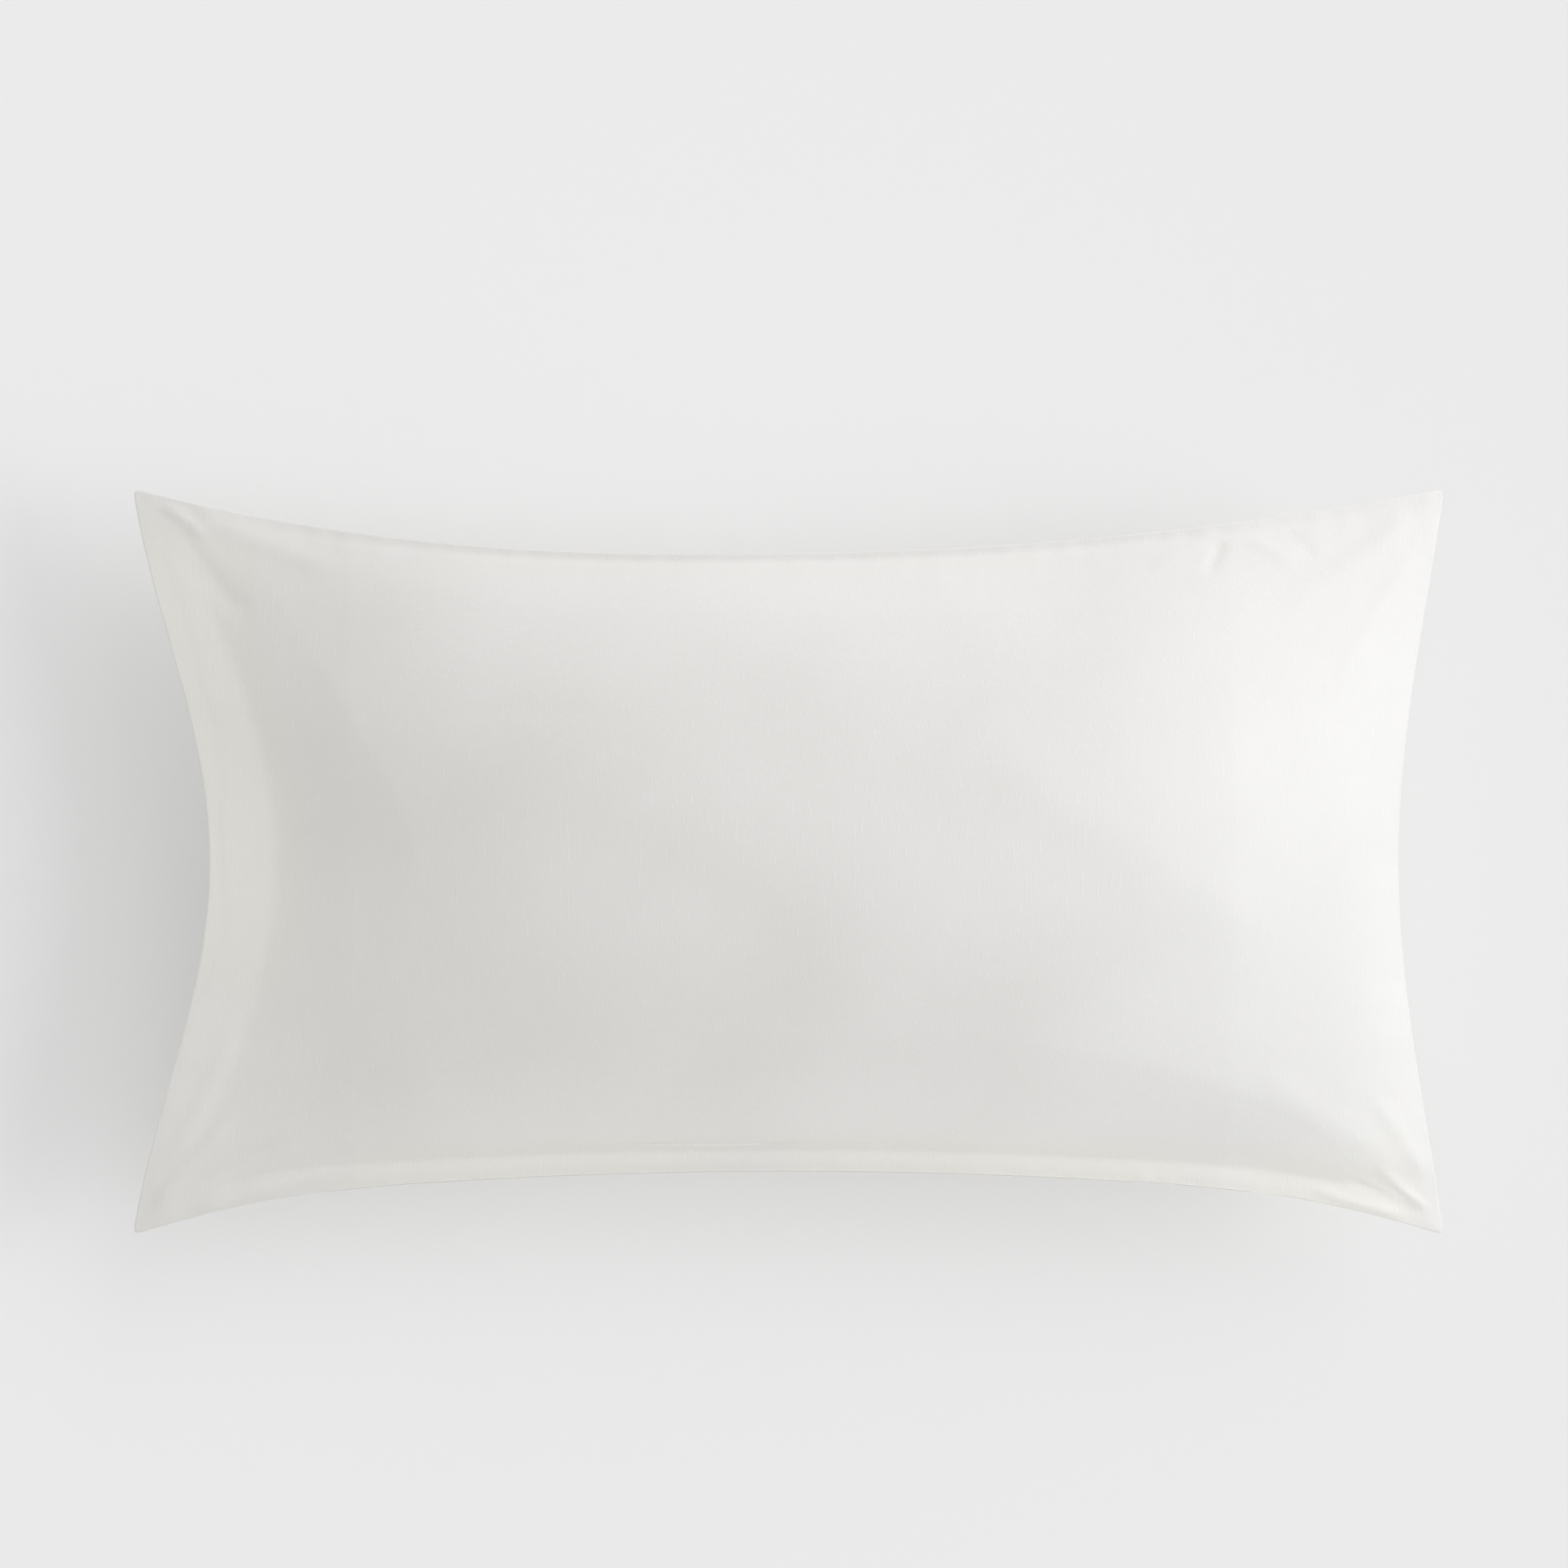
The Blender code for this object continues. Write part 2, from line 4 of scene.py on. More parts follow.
import bpy
import numpy as np
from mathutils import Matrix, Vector


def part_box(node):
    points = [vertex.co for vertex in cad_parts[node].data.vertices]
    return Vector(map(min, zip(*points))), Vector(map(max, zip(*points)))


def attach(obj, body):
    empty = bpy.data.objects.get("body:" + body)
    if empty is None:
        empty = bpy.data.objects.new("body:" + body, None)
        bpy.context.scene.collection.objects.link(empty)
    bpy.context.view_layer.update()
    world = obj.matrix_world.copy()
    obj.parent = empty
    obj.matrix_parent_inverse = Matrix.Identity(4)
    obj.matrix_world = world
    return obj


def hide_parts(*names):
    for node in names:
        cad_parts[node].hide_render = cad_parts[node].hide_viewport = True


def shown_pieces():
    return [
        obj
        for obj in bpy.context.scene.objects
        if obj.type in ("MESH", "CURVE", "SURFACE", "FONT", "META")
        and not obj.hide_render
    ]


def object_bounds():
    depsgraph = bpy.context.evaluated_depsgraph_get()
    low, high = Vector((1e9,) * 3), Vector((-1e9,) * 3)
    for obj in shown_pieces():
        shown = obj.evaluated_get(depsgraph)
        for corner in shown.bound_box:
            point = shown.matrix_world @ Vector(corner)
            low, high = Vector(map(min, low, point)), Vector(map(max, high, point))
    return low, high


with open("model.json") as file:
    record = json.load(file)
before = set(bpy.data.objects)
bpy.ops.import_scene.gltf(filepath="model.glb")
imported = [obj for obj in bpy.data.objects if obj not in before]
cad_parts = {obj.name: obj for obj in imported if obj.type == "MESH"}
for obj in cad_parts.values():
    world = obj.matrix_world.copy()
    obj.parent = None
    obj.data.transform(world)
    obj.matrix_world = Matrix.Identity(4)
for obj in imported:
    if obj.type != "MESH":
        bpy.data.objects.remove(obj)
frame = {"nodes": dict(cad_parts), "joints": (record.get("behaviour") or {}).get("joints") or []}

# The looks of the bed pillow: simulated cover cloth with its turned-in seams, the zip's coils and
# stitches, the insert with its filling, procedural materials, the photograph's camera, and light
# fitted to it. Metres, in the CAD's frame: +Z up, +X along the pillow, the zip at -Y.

CAD_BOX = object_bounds()
MM = 0.001

# ---------------------------------------------------------------- measures from the frame

HALF_LENGTH, HALF_WIDTH, TOP = CAD_BOX[1]
SEAM_Z = sum(corner.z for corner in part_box("cover_seam_thread")) / 2
JOINTS = {joint["name"]: joint for joint in frame["joints"]}
ARC_CENTRE_Y = JOINTS["zip_travel"]["pos_m"][1]
PIVOT = JOINTS["tab_swing"]["pos_m"]
PIVOT_DEPTH = 2.6 * MM  # of the tab's pivot, inwards from the cover's edge
SEAM_RADIUS = math.hypot(PIVOT[0], PIVOT[1] - ARC_CENTRE_Y) - PIVOT_DEPTH
SIDE_HOLLOW = HALF_WIDTH + ARC_CENTRE_Y + SEAM_RADIUS
ZIP_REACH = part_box("zip_tape_front")[1].x
COIL_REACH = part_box("zip_coil_front")[1].x

# ---------------------------------------------------------------- the outline and the stuffed form

# The outline, read off the photograph: how far each end curves in, and how sharply
LEFT_HOLLOW, LEFT_STEEPNESS = 0.053, 0.5
RIGHT_HOLLOW, RIGHT_STEEPNESS = 0.032, 0.25
TOP_LOWEST = -0.06  # where along the pillow the +Y seam curves in the most
TOP_POWER = 2.25
TIP_RADIUS = 0.0045
PLAN_STEPS = 8  # in which a point's place on the outline settles
FLAT_LENGTH, FLAT_WIDTH = 0.914, 0.522  # the cover's panels between their seams, laid flat
PULLED_LENGTH, PULLED_WIDTH = 0.895, 0.520  # the simulation's pattern: a longer one buckles more
RIMS = {"left": 0.045, "right": 0.002, "zip": 0.018, "plain": 0.005}  # flat cloth past the stuffing
LEFT_TAPER = 0.55  # how much of its width the left rim loses towards its tips
# The rise from each rim to the middle: fullness, steepness
LEFT_RISE, RIGHT_RISE, ZIP_RISE, PLAIN_RISE = (3.1, 1.30), (3.0, 0.82), (2.1, 0.90), (2.2, 0.98)
FREE_DEPTH = 0.096  # how deep the back would bulge if it lay on nothing
TIP_DROOP = 0.006  # how far the corners hang below the seam's level

# ---------------------------------------------------------------- cloth

SIM_CELLS = (144, 82)
SIM_FRAMES = 22
HEADROOM = 3 * MM  # between the simulation's start and the CAD's top
SIM_CLEARANCE = 1 * MM  # of the back from the floor, and of the pattern's layers from their middle
PRESSURE_ONSET = 4  # how soon the pressure comes on past the rims
CLOTH_SETTINGS = {
    "quality": 6,
    "mass": 0.3,
    "tension_stiffness": 15,
    "compression_stiffness": 15,
    "shear_stiffness": 5,
    "bending_stiffness": 0.6,
    "air_damping": 2,
    "use_pressure": True,
    "uniform_pressure_force": 4.0,
    "vertex_group_pressure": "inside",
    "vertex_group_mass": "seam",
    "pin_stiffness": 1,
}
MOST_MOVEMENT = (0.0006, 0.0085)  # of a point in the simulation, on the rims and in the middle
CELL = 3.6 * MM  # of the finished panels
COVER_CLOTH = 0.7 * MM
TICKING_CLOTH = 0.5 * MM
LABEL_CLOTH = 0.3 * MM
THREAD = 0.5 * MM
STITCH_RADIUS, ZIP_STITCH_RADIUS = 0.48 * THREAD, 0.46 * THREAD
BLUNT_END = 0.55  # of a thread's radius, at its ends
ALLOWANCE, ZIP_ALLOWANCE = 12 * MM, 25 * MM
COVER_EASE = 2.5 * MM  # between the cover's allowance and the insert
ZIP_RAMP_START, ZIP_RAMP = ZIP_REACH + 0.034, 0.045  # where the lips start to close, and how far on
LIPS_CLOSED = 0.8  # of that ramp, from where the cover's seam is stitched

# A seam's edge in millimetres: (inwards from the edge, up from the middle of the seam)
FOLD = [(0, .35), (.15, .95), (.5, 1.6), (1.2, 2.1), (3, 2.35)]
PLAIN_EDGE = [*FOLD, (10.8, 2.4), (12.2, 2.1), (14, 2.0)]
WIDE_EDGE = [*FOLD, (23.6, 2.4), (25.0, 2.1), (27, 2.0)]
ZIP_EDGE = [(0, 3.4), (.15, 3.8), (.5, 4.2), (1.2, 4.6), (3, 5.0), (8, 5.3), (23.6, 5.2),
            (25.0, 4.6), (30, 3.5)]
# The turned-in cloth behind it, for a plain seam, the zip's seam past the zip, and the zip
PLAIN_TURN = [(.25, .28), (1.5, .30), (4.0, .34), (8.0, .38), (12.0, .42)]
WIDE_TURN = [(.25, .28), (1.5, .30), (6.0, .34), (14.0, .38), (25.0, .42)]
ZIP_TURN = [(.5, 2.95), (3.0, 2.95), (4.5, 3.40), (6.2, 3.85), (25.0, 3.90)]


def arc_sag(x):
    """How far the zip seam's arc has moved outwards from its middle, at x."""
    return SEAM_RADIUS - np.sqrt(SEAM_RADIUS**2 - np.square(x))


def zip_side_inset(x):
    """How far the -Y seam lies inside the line through its corners."""
    x = np.minimum(np.abs(x), HALF_LENGTH)
    left = SIDE_HOLLOW - arc_sag(HALF_LENGTH)
    past = np.maximum(0, x - ZIP_REACH) / (HALF_LENGTH - ZIP_REACH)
    return SIDE_HOLLOW - arc_sag(x) - left * past**2


def plain_side_inset(x):
    lean = x - TOP_LOWEST
    reach = np.where(lean > 0, HALF_LENGTH - TOP_LOWEST, HALF_LENGTH + TOP_LOWEST)
    return SIDE_HOLLOW * (1 - np.minimum(1, np.abs(lean) / reach) ** TOP_POWER)


def end_inset(y, hollow, steepness):
    s = np.minimum(1, np.abs(y) / HALF_WIDTH)
    gentle, sharp = np.cos(s * np.pi / 2), (1 + np.cos(s * np.pi)) / 2
    return hollow * ((1 - steepness) * gentle + steepness * sharp)


def left_inset(y):
    return end_inset(y, LEFT_HOLLOW, LEFT_STEEPNESS)


def right_inset(y):
    return end_inset(y, RIGHT_HOLLOW, RIGHT_STEEPNESS)


def rounded_tips(u, v):
    """Moves the corners of the square -1..1 onto quarter circles."""
    near_x = TIP_RADIUS - (1 - np.abs(u)) * HALF_LENGTH
    near_y = TIP_RADIUS - (1 - np.abs(v)) * HALF_WIDTH
    inside = (near_x > 0) & (near_y > 0)
    longest, radius = np.maximum(near_x, near_y), np.hypot(near_x, near_y)
    scale = np.where(inside, longest / np.maximum(radius, 1e-9), 1)
    u = np.where(inside, np.sign(u) * (1 - (TIP_RADIUS - near_x * scale) / HALF_LENGTH), u)
    v = np.where(inside, np.sign(v) * (1 - (TIP_RADIUS - near_y * scale) / HALF_WIDTH), v)
    return u, v


def plan(u, v, end_margin=0.0, side_margin=0.0, zip_margin=0.0):
    """The plan position of (u, v), each from -1 to 1, on an outline that far inside the cover's."""
    u, v = rounded_tips(u, v)
    x, y = u * HALF_LENGTH, v * HALF_WIDTH
    for _ in range(PLAN_STEPS):
        ends = np.where(u < 0, left_inset(y), right_inset(y))
        x = u * (HALF_LENGTH - end_margin - ends)
        sides = np.where(v < 0, zip_side_inset(x) + zip_margin, plain_side_inset(x) + side_margin)
        y = v * (HALF_WIDTH - sides)
    return x, y


def swell(x, y):
    """0 on the flat rims and 1 in the middle of the pillow."""
    left = -HALF_LENGTH + left_inset(y) + RIMS["left"] * (1 - LEFT_TAPER * (y / HALF_WIDTH) ** 2)
    right = HALF_LENGTH - right_inset(y) - RIMS["right"]
    low = -HALF_WIDTH + zip_side_inset(x) + RIMS["zip"]
    high = HALF_WIDTH - plain_side_inset(x) - RIMS["plain"]
    a = np.clip((2 * x - left - right) / (right - left), -1, 1)
    b = np.clip((2 * y - low - high) / (high - low), -1, 1)
    along = np.where(a < 0, risen(a, *LEFT_RISE), risen(a, *RIGHT_RISE))
    return along * np.where(b < 0, risen(b, *ZIP_RISE), risen(b, *PLAIN_RISE))


def risen(s, fullness, steepness):
    return (1 - np.abs(s) ** fullness) ** steepness


def droop(x, y):
    """How far the corners hang down. The zip's stretch stays level."""
    past = np.maximum(0, np.abs(x) - ZIP_RAMP_START) / (HALF_LENGTH - ZIP_RAMP_START)
    return TIP_DROOP * past**2 * (y / HALF_WIDTH) ** 2


def at_zip(x):
    """1 along the zip, 0 past it."""
    return np.clip(1 - (np.abs(x) - ZIP_RAMP_START) / ZIP_RAMP, 0, 1)


def arc_point(x, depth, height):
    """A point beside the zip: x along the seam, depth inwards from the cover's edge."""
    angle, radius = x / SEAM_RADIUS, SEAM_RADIUS + depth
    return np.stack(np.broadcast_arrays(
        radius * np.sin(angle), ARC_CENTRE_Y + radius * np.cos(angle), SEAM_Z + height), axis=-1)


# ---------------------------------------------------------------- meshes


def new_object(name, verts, faces, material=None, body="pillow"):
    mesh = bpy.data.meshes.new(name)
    mesh.from_pydata([tuple(v) for v in verts], [], [tuple(int(i) for i in f) for f in faces])
    mesh.shade_smooth()
    obj = bpy.data.objects.new(name, mesh)
    bpy.context.scene.collection.objects.link(obj)
    if material is not None:
        mesh.materials.append(material)
    if body:
        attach(obj, body)
    return obj


def grid_faces(rows, columns):
    index = np.arange(rows * columns).reshape(rows, columns)
    corners = index[:-1, :-1], index[:-1, 1:], index[1:, 1:], index[1:, :-1]
    return np.stack([c.ravel() for c in corners], axis=1)


def rim_loop(rows, columns):
    """A grid's outermost vertices, anticlockwise."""
    index = np.arange(rows * columns).reshape(rows, columns)
    return np.concatenate([index[0, :-1], index[:-1, -1], index[-1, :0:-1], index[:0:-1, 0]])


def strip_faces(first, second):
    """Faces between two closed loops of vertices."""
    after = np.roll(first, -1), np.roll(second, -1)
    return np.stack([first, second, after[1], after[0]], axis=1)


def thicken(obj, cloth):
    """Gives a surface its cloth's thickness, towards its inside."""
    solidify = obj.modifiers.new("cloth", "SOLIDIFY")
    solidify.thickness = cloth
    solidify.offset = -1.0
    solidify.use_rim = True
    return obj


def tube(points, radius, sides=6):
    """(verts, faces) of a capped tube along a polyline, with rounded ends."""
    points = np.asarray(points, float)
    tangent = np.gradient(points, axis=0)
    tangent /= np.linalg.norm(tangent, axis=1, keepdims=True)
    side = np.cross(tangent, (0.0, 0.0, 1.0))
    flat = np.linalg.norm(side, axis=1) < 1e-6
    side[flat] = (1.0, 0.0, 0.0)
    side /= np.linalg.norm(side, axis=1, keepdims=True)
    up = np.cross(side, tangent)
    width = np.full(len(points), radius)
    width[[0, -1]] = BLUNT_END * radius
    turn = np.arange(sides) * 2 * np.pi / sides
    ring = side[:, None] * np.cos(turn)[None, :, None] + up[:, None] * np.sin(turn)[None, :, None]
    verts = (points[:, None] + ring * width[:, None, None]).reshape(-1, 3)
    rows = [[(r * sides + k, r * sides + (k + 1) % sides, (r + 1) * sides + (k + 1) % sides,
              (r + 1) * sides + k) for k in range(sides)] for r in range(len(points) - 1)]
    faces = [face for row in rows for face in row]
    last = (len(points) - 1) * sides
    caps = [tuple(range(sides))[::-1], tuple(range(last, last + sides))]
    return verts, faces + caps


def tubes_object(name, runs, radius, material, sides=6):
    verts, faces, count = [], [], 0
    for points in runs:
        v, f = tube(points, radius, sides)
        verts.append(v)
        faces += [[i + count for i in face] for face in f]
        count += len(v)
    return new_object(name, np.concatenate(verts), faces, material)


def resampled(points, pitch):
    """Points at an even pitch along a polyline."""
    points = np.asarray(points, float)
    along = np.concatenate([[0], np.cumsum(np.linalg.norm(np.diff(points, axis=0), axis=1))])
    places = np.arange(0, along[-1], pitch)
    return np.stack([np.interp(places, along, points[:, c]) for c in range(3)], axis=1)


STITCH_ARCH = np.array([-1, 0.6, 1, 0.6, -1])  # the heights of a stitch's points


def stitches(points, pitch, arch=0.0):
    """Short runs along a polyline, one for each stitch, with a gap of a fifth of the pitch."""
    count = len(STITCH_ARCH)
    fine = resampled(points, pitch / count)
    runs = []
    for start in range(0, len(fine) - count, count):
        run = fine[start:start + count].copy()
        run[:, 2] += arch * STITCH_ARCH
        runs.append(run)
    return runs


# ---------------------------------------------------------------- the cover's simulated form


def flat_grid(cells):
    u, v = np.meshgrid(np.linspace(-1, 1, cells[0] + 1), np.linspace(-1, 1, cells[1] + 1))
    return u, v


def start_form():
    """The front's and back's starting points, as (rows, columns, 3) arrays."""
    u, v = flat_grid(SIM_CELLS)
    x, y = plan(u, v)
    full = swell(x, y)
    front = np.stack([x, y, SEAM_Z + (TOP - SEAM_Z - HEADROOM) * full], axis=-1)
    back = np.stack([x, y, np.maximum(SIM_CLEARANCE, SEAM_Z - FREE_DEPTH * full)], axis=-1)
    return front, back, full


def simulated_form():
    """Inflates the sewn cover inside its pinned seam, so that the cloth pulls into creases."""
    front, back, full = start_form()
    rows, columns = full.shape
    count = rows * columns
    inner = np.ones((rows, columns), bool)
    inner[[0, -1], :] = inner[:, [0, -1]] = False
    back_index = np.arange(count).reshape(rows, columns)
    back_index[inner] = count + np.arange(inner.sum())
    verts = np.concatenate([front.reshape(-1, 3), back[inner]])
    faces = grid_faces(rows, columns)
    under = back_index.ravel()[faces][:, ::-1]
    obj = new_object("cover_form", verts, np.concatenate([faces, under]), body=None)
    u, v = flat_grid(SIM_CELLS)
    height = np.full(u.shape, SIM_CLEARANCE)
    pattern = np.stack([u * PULLED_LENGTH / 2, v * PULLED_WIDTH / 2, height], axis=-1)
    mirrored = pattern * (1, 1, -1)
    run_cloth(obj, np.concatenate([pattern.reshape(-1, 3), mirrored[inner]]),
              np.flatnonzero(~inner.ravel()), np.concatenate([full.ravel(), full[inner]]))
    moved = final_coordinates(obj)
    bpy.data.objects.remove(obj)
    step = moved - verts
    far = np.linalg.norm(step, axis=1, keepdims=True)
    rim, middle = MOST_MOVEMENT
    most = rim + (middle - rim) * np.concatenate([full.ravel(), full[inner]])
    moved = verts + step * np.minimum(1, most[:, None] / np.maximum(far, 1e-9))
    return moved[:count].reshape(front.shape), moved[back_index.ravel()].reshape(front.shape)


def run_cloth(obj, pattern, pinned, full):
    """Runs the cloth simulation: the flat pattern is its rest shape, and the seam stays put."""
    obj.shape_key_add(name="Basis")
    rest = obj.shape_key_add(name="pattern")
    rest.data.foreach_set("co", pattern.ravel())
    seam = obj.vertex_groups.new(name="seam")
    seam.add([int(i) for i in pinned], 1.0, "REPLACE")
    inside = obj.vertex_groups.new(name="inside")
    for i, share in enumerate(full):
        inside.add([i], float(min(1, PRESSURE_ONSET * share)), "REPLACE")
    cloth = obj.modifiers.new("cloth", "CLOTH")
    settings = cloth.settings
    for setting, value in CLOTH_SETTINGS.items():
        setattr(settings, setting, value)
    settings.rest_shape_key = rest
    settings.effector_weights.gravity = 0
    cloth.collision_settings.use_collision = False
    cloth.point_cache.frame_start, cloth.point_cache.frame_end = 1, SIM_FRAMES
    for step in range(1, SIM_FRAMES + 1):
        bpy.context.scene.frame_set(step)


def final_coordinates(obj):
    shaped = obj.evaluated_get(bpy.context.evaluated_depsgraph_get()).to_mesh()
    coordinates = np.empty(len(shaped.vertices) * 3)
    shaped.vertices.foreach_get("co", coordinates)
    return coordinates.reshape(-1, 3)


def cubic_weights(places, cells):
    """Catmull-Rom weights that read an even grid of cells+1 samples on -1..1 at the places."""
    at = (np.asarray(places) + 1) / 2 * cells
    base = np.clip(np.floor(at).astype(int), 0, cells - 1)
    t = at - base
    taps = [-t / 2 + t**2 - t**3 / 2, 1 - 2.5 * t**2 + 1.5 * t**3,
            t / 2 + 2 * t**2 - 1.5 * t**3, -t**2 / 2 + t**3 / 2]
    weights = np.zeros((len(at), cells + 1))
    for offset, tap in zip((-1, 0, 1, 2), taps):
        np.add.at(weights, (np.arange(len(at)), np.clip(base + offset, 0, cells)), tap)
    return weights


def sampled(form, us, vs):
    across, along = cubic_weights(vs, SIM_CELLS[1]), cubic_weights(us, SIM_CELLS[0])
    return np.stack([across @ form[..., axis] @ along.T for axis in range(3)], axis=-1)


# ---------------------------------------------------------------- folds and creases


def smooth(t):
    t = np.clip(t, 0, 1)
    return t * t * (3 - 2 * t)


def waves(s, seed, scale, count=7):
    """A smooth irregular wave of about unit height."""
    rng = np.random.default_rng(seed)
    total = np.zeros_like(s)
    for _ in range(count):
        pace, phase = rng.uniform(0.5, 1.6), rng.uniform(0, 2 * np.pi)
        total += np.sin(s / scale * pace * 2 * np.pi + phase)
    return total / math.sqrt(count)


def unevenness(x, y, seed, scale, count=12):
    """A slow two-way wave of about unit height, for lumps in the filling."""
    rng = np.random.default_rng(seed)
    total = np.zeros_like(x)
    for _ in range(count):
        angle = rng.uniform(0, np.pi)
        along = x * np.cos(angle) + y * np.sin(angle)
        pace, phase = rng.uniform(0.6, 1.5), rng.uniform(0, 2 * np.pi)
        total += np.sin(along / scale * pace * 2 * np.pi + phase)
    return total / math.sqrt(count)


def crease(x, y, start, end, width, height, bow=0.0):
    """A soft ridge (height above 0) or valley (below 0) from start to end, fading at both ends."""
    (x0, y0), (x1, y1) = start, end
    length = math.hypot(x1 - x0, y1 - y0)
    dx, dy = (x1 - x0) / length, (y1 - y0) / length
    along = ((x - x0) * dx + (y - y0) * dy) / length
    across = (y - y0) * dx - (x - x0) * dy - bow * 4 * along * (1 - along)
    fade = smooth(along / CREASE_FADE) * smooth((1 - along) / CREASE_FADE)
    return height * fade * np.exp(-np.square(across / width))


def corner(sx, sy, inwards_x, inwards_y):
    """A point that far inside the tip of the corner on the sx, sy side."""
    return sx * (HALF_LENGTH - inwards_x), sy * (HALF_WIDTH - inwards_y)


CREASE_FADE = 0.25  # of a crease's length, at each end
CREASE_DEPTH = 1.4  # times the heights below
CREASE_START = 3 * MM  # from the edge, where creases have come on in full
PUCKER_HEIGHT, PUCKER_START = 0.35 * MM, 4 * MM
LUMP_HEIGHT, LUMP_SIZE, LUMP_START = 0.8 * MM, 0.17, 0.10
LIP_GIVE = 0.1 * MM  # how far a crease may press into a seam's layers

# Creases that the photograph shows on the front: start, end, width, height, bow
FRONT_CREASES = [
    # the plus-Y corner at the -X end: one clear fold and two faint ones
    (corner(-1, 1, 0.018, 0.010), corner(-1, 1, 0.052, 0.036), 0.0035, 1.6 * MM, 0.002),
    (corner(-1, 1, 0.020, 0.024), corner(-1, 1, 0.085, 0.095), 0.0070, -1.3 * MM, 0.0),
    (corner(-1, 1, 0.040, 0.018), corner(-1, 1, 0.150, 0.060), 0.0080, 1.2 * MM, 0.0),
    # the zip-side corner at the -X end: folds that fan out from the tip
    (corner(-1, -1, 0.010, 0.012), corner(-1, -1, 0.075, 0.085), 0.0050, 1.8 * MM, 0.002),
    (corner(-1, -1, 0.024, 0.014), corner(-1, -1, 0.110, 0.070), 0.0055, -1.5 * MM, 0.002),
    (corner(-1, -1, 0.030, 0.010), corner(-1, -1, 0.160, 0.050), 0.0060, 1.4 * MM, 0.003),
    (corner(-1, -1, 0.020, 0.040), corner(-1, -1, 0.075, 0.150), 0.0070, 1.2 * MM, -0.003),
    # the plus-Y corner at the +X end
    (corner(1, 1, 0.015, 0.015), corner(1, 1, 0.120, 0.085), 0.0070, 1.0 * MM, 0.003),
    (corner(1, 1, 0.030, 0.020), corner(1, 1, 0.190, 0.085), 0.0070, -0.8 * MM, 0.004),
    (corner(1, 1, 0.014, 0.035), corner(1, 1, 0.080, 0.140), 0.0070, 0.9 * MM, -0.003),
    # the pucker in the +Y seam near that corner
    (corner(1, 1, 0.152, 0.036), corner(1, 1, 0.166, 0.060), 0.0030, -1.9 * MM, 0.001),
    (corner(1, 1, 0.138, 0.033), corner(1, 1, 0.104, 0.054), 0.0036, 0.8 * MM, 0.001),
    (corner(1, 1, 0.160, 0.038), corner(1, 1, 0.205, 0.056), 0.0036, 1.2 * MM, -0.001),
    (corner(1, 1, 0.110, 0.028), corner(1, 1, 0.090, 0.052), 0.0030, -0.7 * MM, 0.001),
    # the gathered corner at the zip's side of the +X end
    (corner(1, -1, 0.008, 0.016), corner(1, -1, 0.050, 0.050), 0.0026, 1.4 * MM, 0.001),
    (corner(1, -1, 0.016, 0.014), corner(1, -1, 0.070, 0.042), 0.0026, -1.2 * MM, 0.001),
    (corner(1, -1, 0.024, 0.012), corner(1, -1, 0.095, 0.034), 0.0028, 1.1 * MM, 0.001),
    (corner(1, -1, 0.010, 0.034), corner(1, -1, 0.055, 0.100), 0.0055, 1.1 * MM, -0.002),
    (corner(1, -1, 0.030, 0.050), corner(1, -1, 0.140, 0.120), 0.0110, 1.0 * MM, 0.003),
    # faint creases in the middle
    ((-0.235, 0.100), (-0.115, 0.101), 0.0060, -0.35 * MM, 0.001),
    ((0.120, 0.070), (0.330, -0.060), 0.0220, 0.9 * MM, 0.006),
    ((-0.180, 0.030), (0.020, -0.060), 0.0260, -0.7 * MM, 0.006),
]
BACK_CREASES = [
    (corner(sx, sy, 0.014, 0.014), corner(sx, sy, reach, 0.62 * reach), 0.006, lift * MM, 0.002)
    for sx, sy, reach, lift in ((-1, 1, 0.10, 1.6), (1, 1, 0.12, 1.8), (-1, -1, 0.11, 1.7),
                                (1, -1, 0.09, 2.0), (-1, 1, 0.17, -1.2), (1, -1, 0.16, -1.3))
]
# The pleat where the zip's allowance ends under the front: a slit, its lip, and a ridge beside it
SLIT = ((-0.122, -0.1885), (0.010, -0.1885), 0.0014, -2.4 * MM, -0.0016)
SLIT_LIP = ((-0.126, -0.1862), (0.014, -0.1859), 0.0016, 1.4 * MM, -0.0016)
SLIT_RIDGE = ((-0.010, -0.1852), (0.200, -0.1822), 0.0014, 1.1 * MM, -0.0024)
# Small wedge-shaped tucks over the zip's closed end: place along it, width, height
TUCKS = [(0.2400, 0.0055, 1.5 * MM), (0.2560, 0.0050, 1.3 * MM)]
TUCK_REACH, TUCK_START = 9 * MM, 0.5 * MM  # inwards from the edge
TUCK_LEAN, TUCK_SPREAD = 0.5, 0.25  # along the pillow, for each unit inwards


def interpolated(distance, profile):
    reach, height = np.array(profile).T * MM
    return np.interp(distance, reach, height)


def lip_height(x, ends, zip_side, plain_side):
    """How far a seam's layers lift the cloth off the pillow's mid-plane, near each edge."""
    share = at_zip(x)
    wide = interpolated(zip_side, WIDE_EDGE)
    by_zip = interpolated(zip_side, ZIP_EDGE) * share + wide * (1 - share)
    plain = np.minimum(interpolated(plain_side, PLAIN_EDGE), interpolated(ends, PLAIN_EDGE))
    return np.minimum(plain, by_zip) + np.maximum(0, by_zip - wide) * share


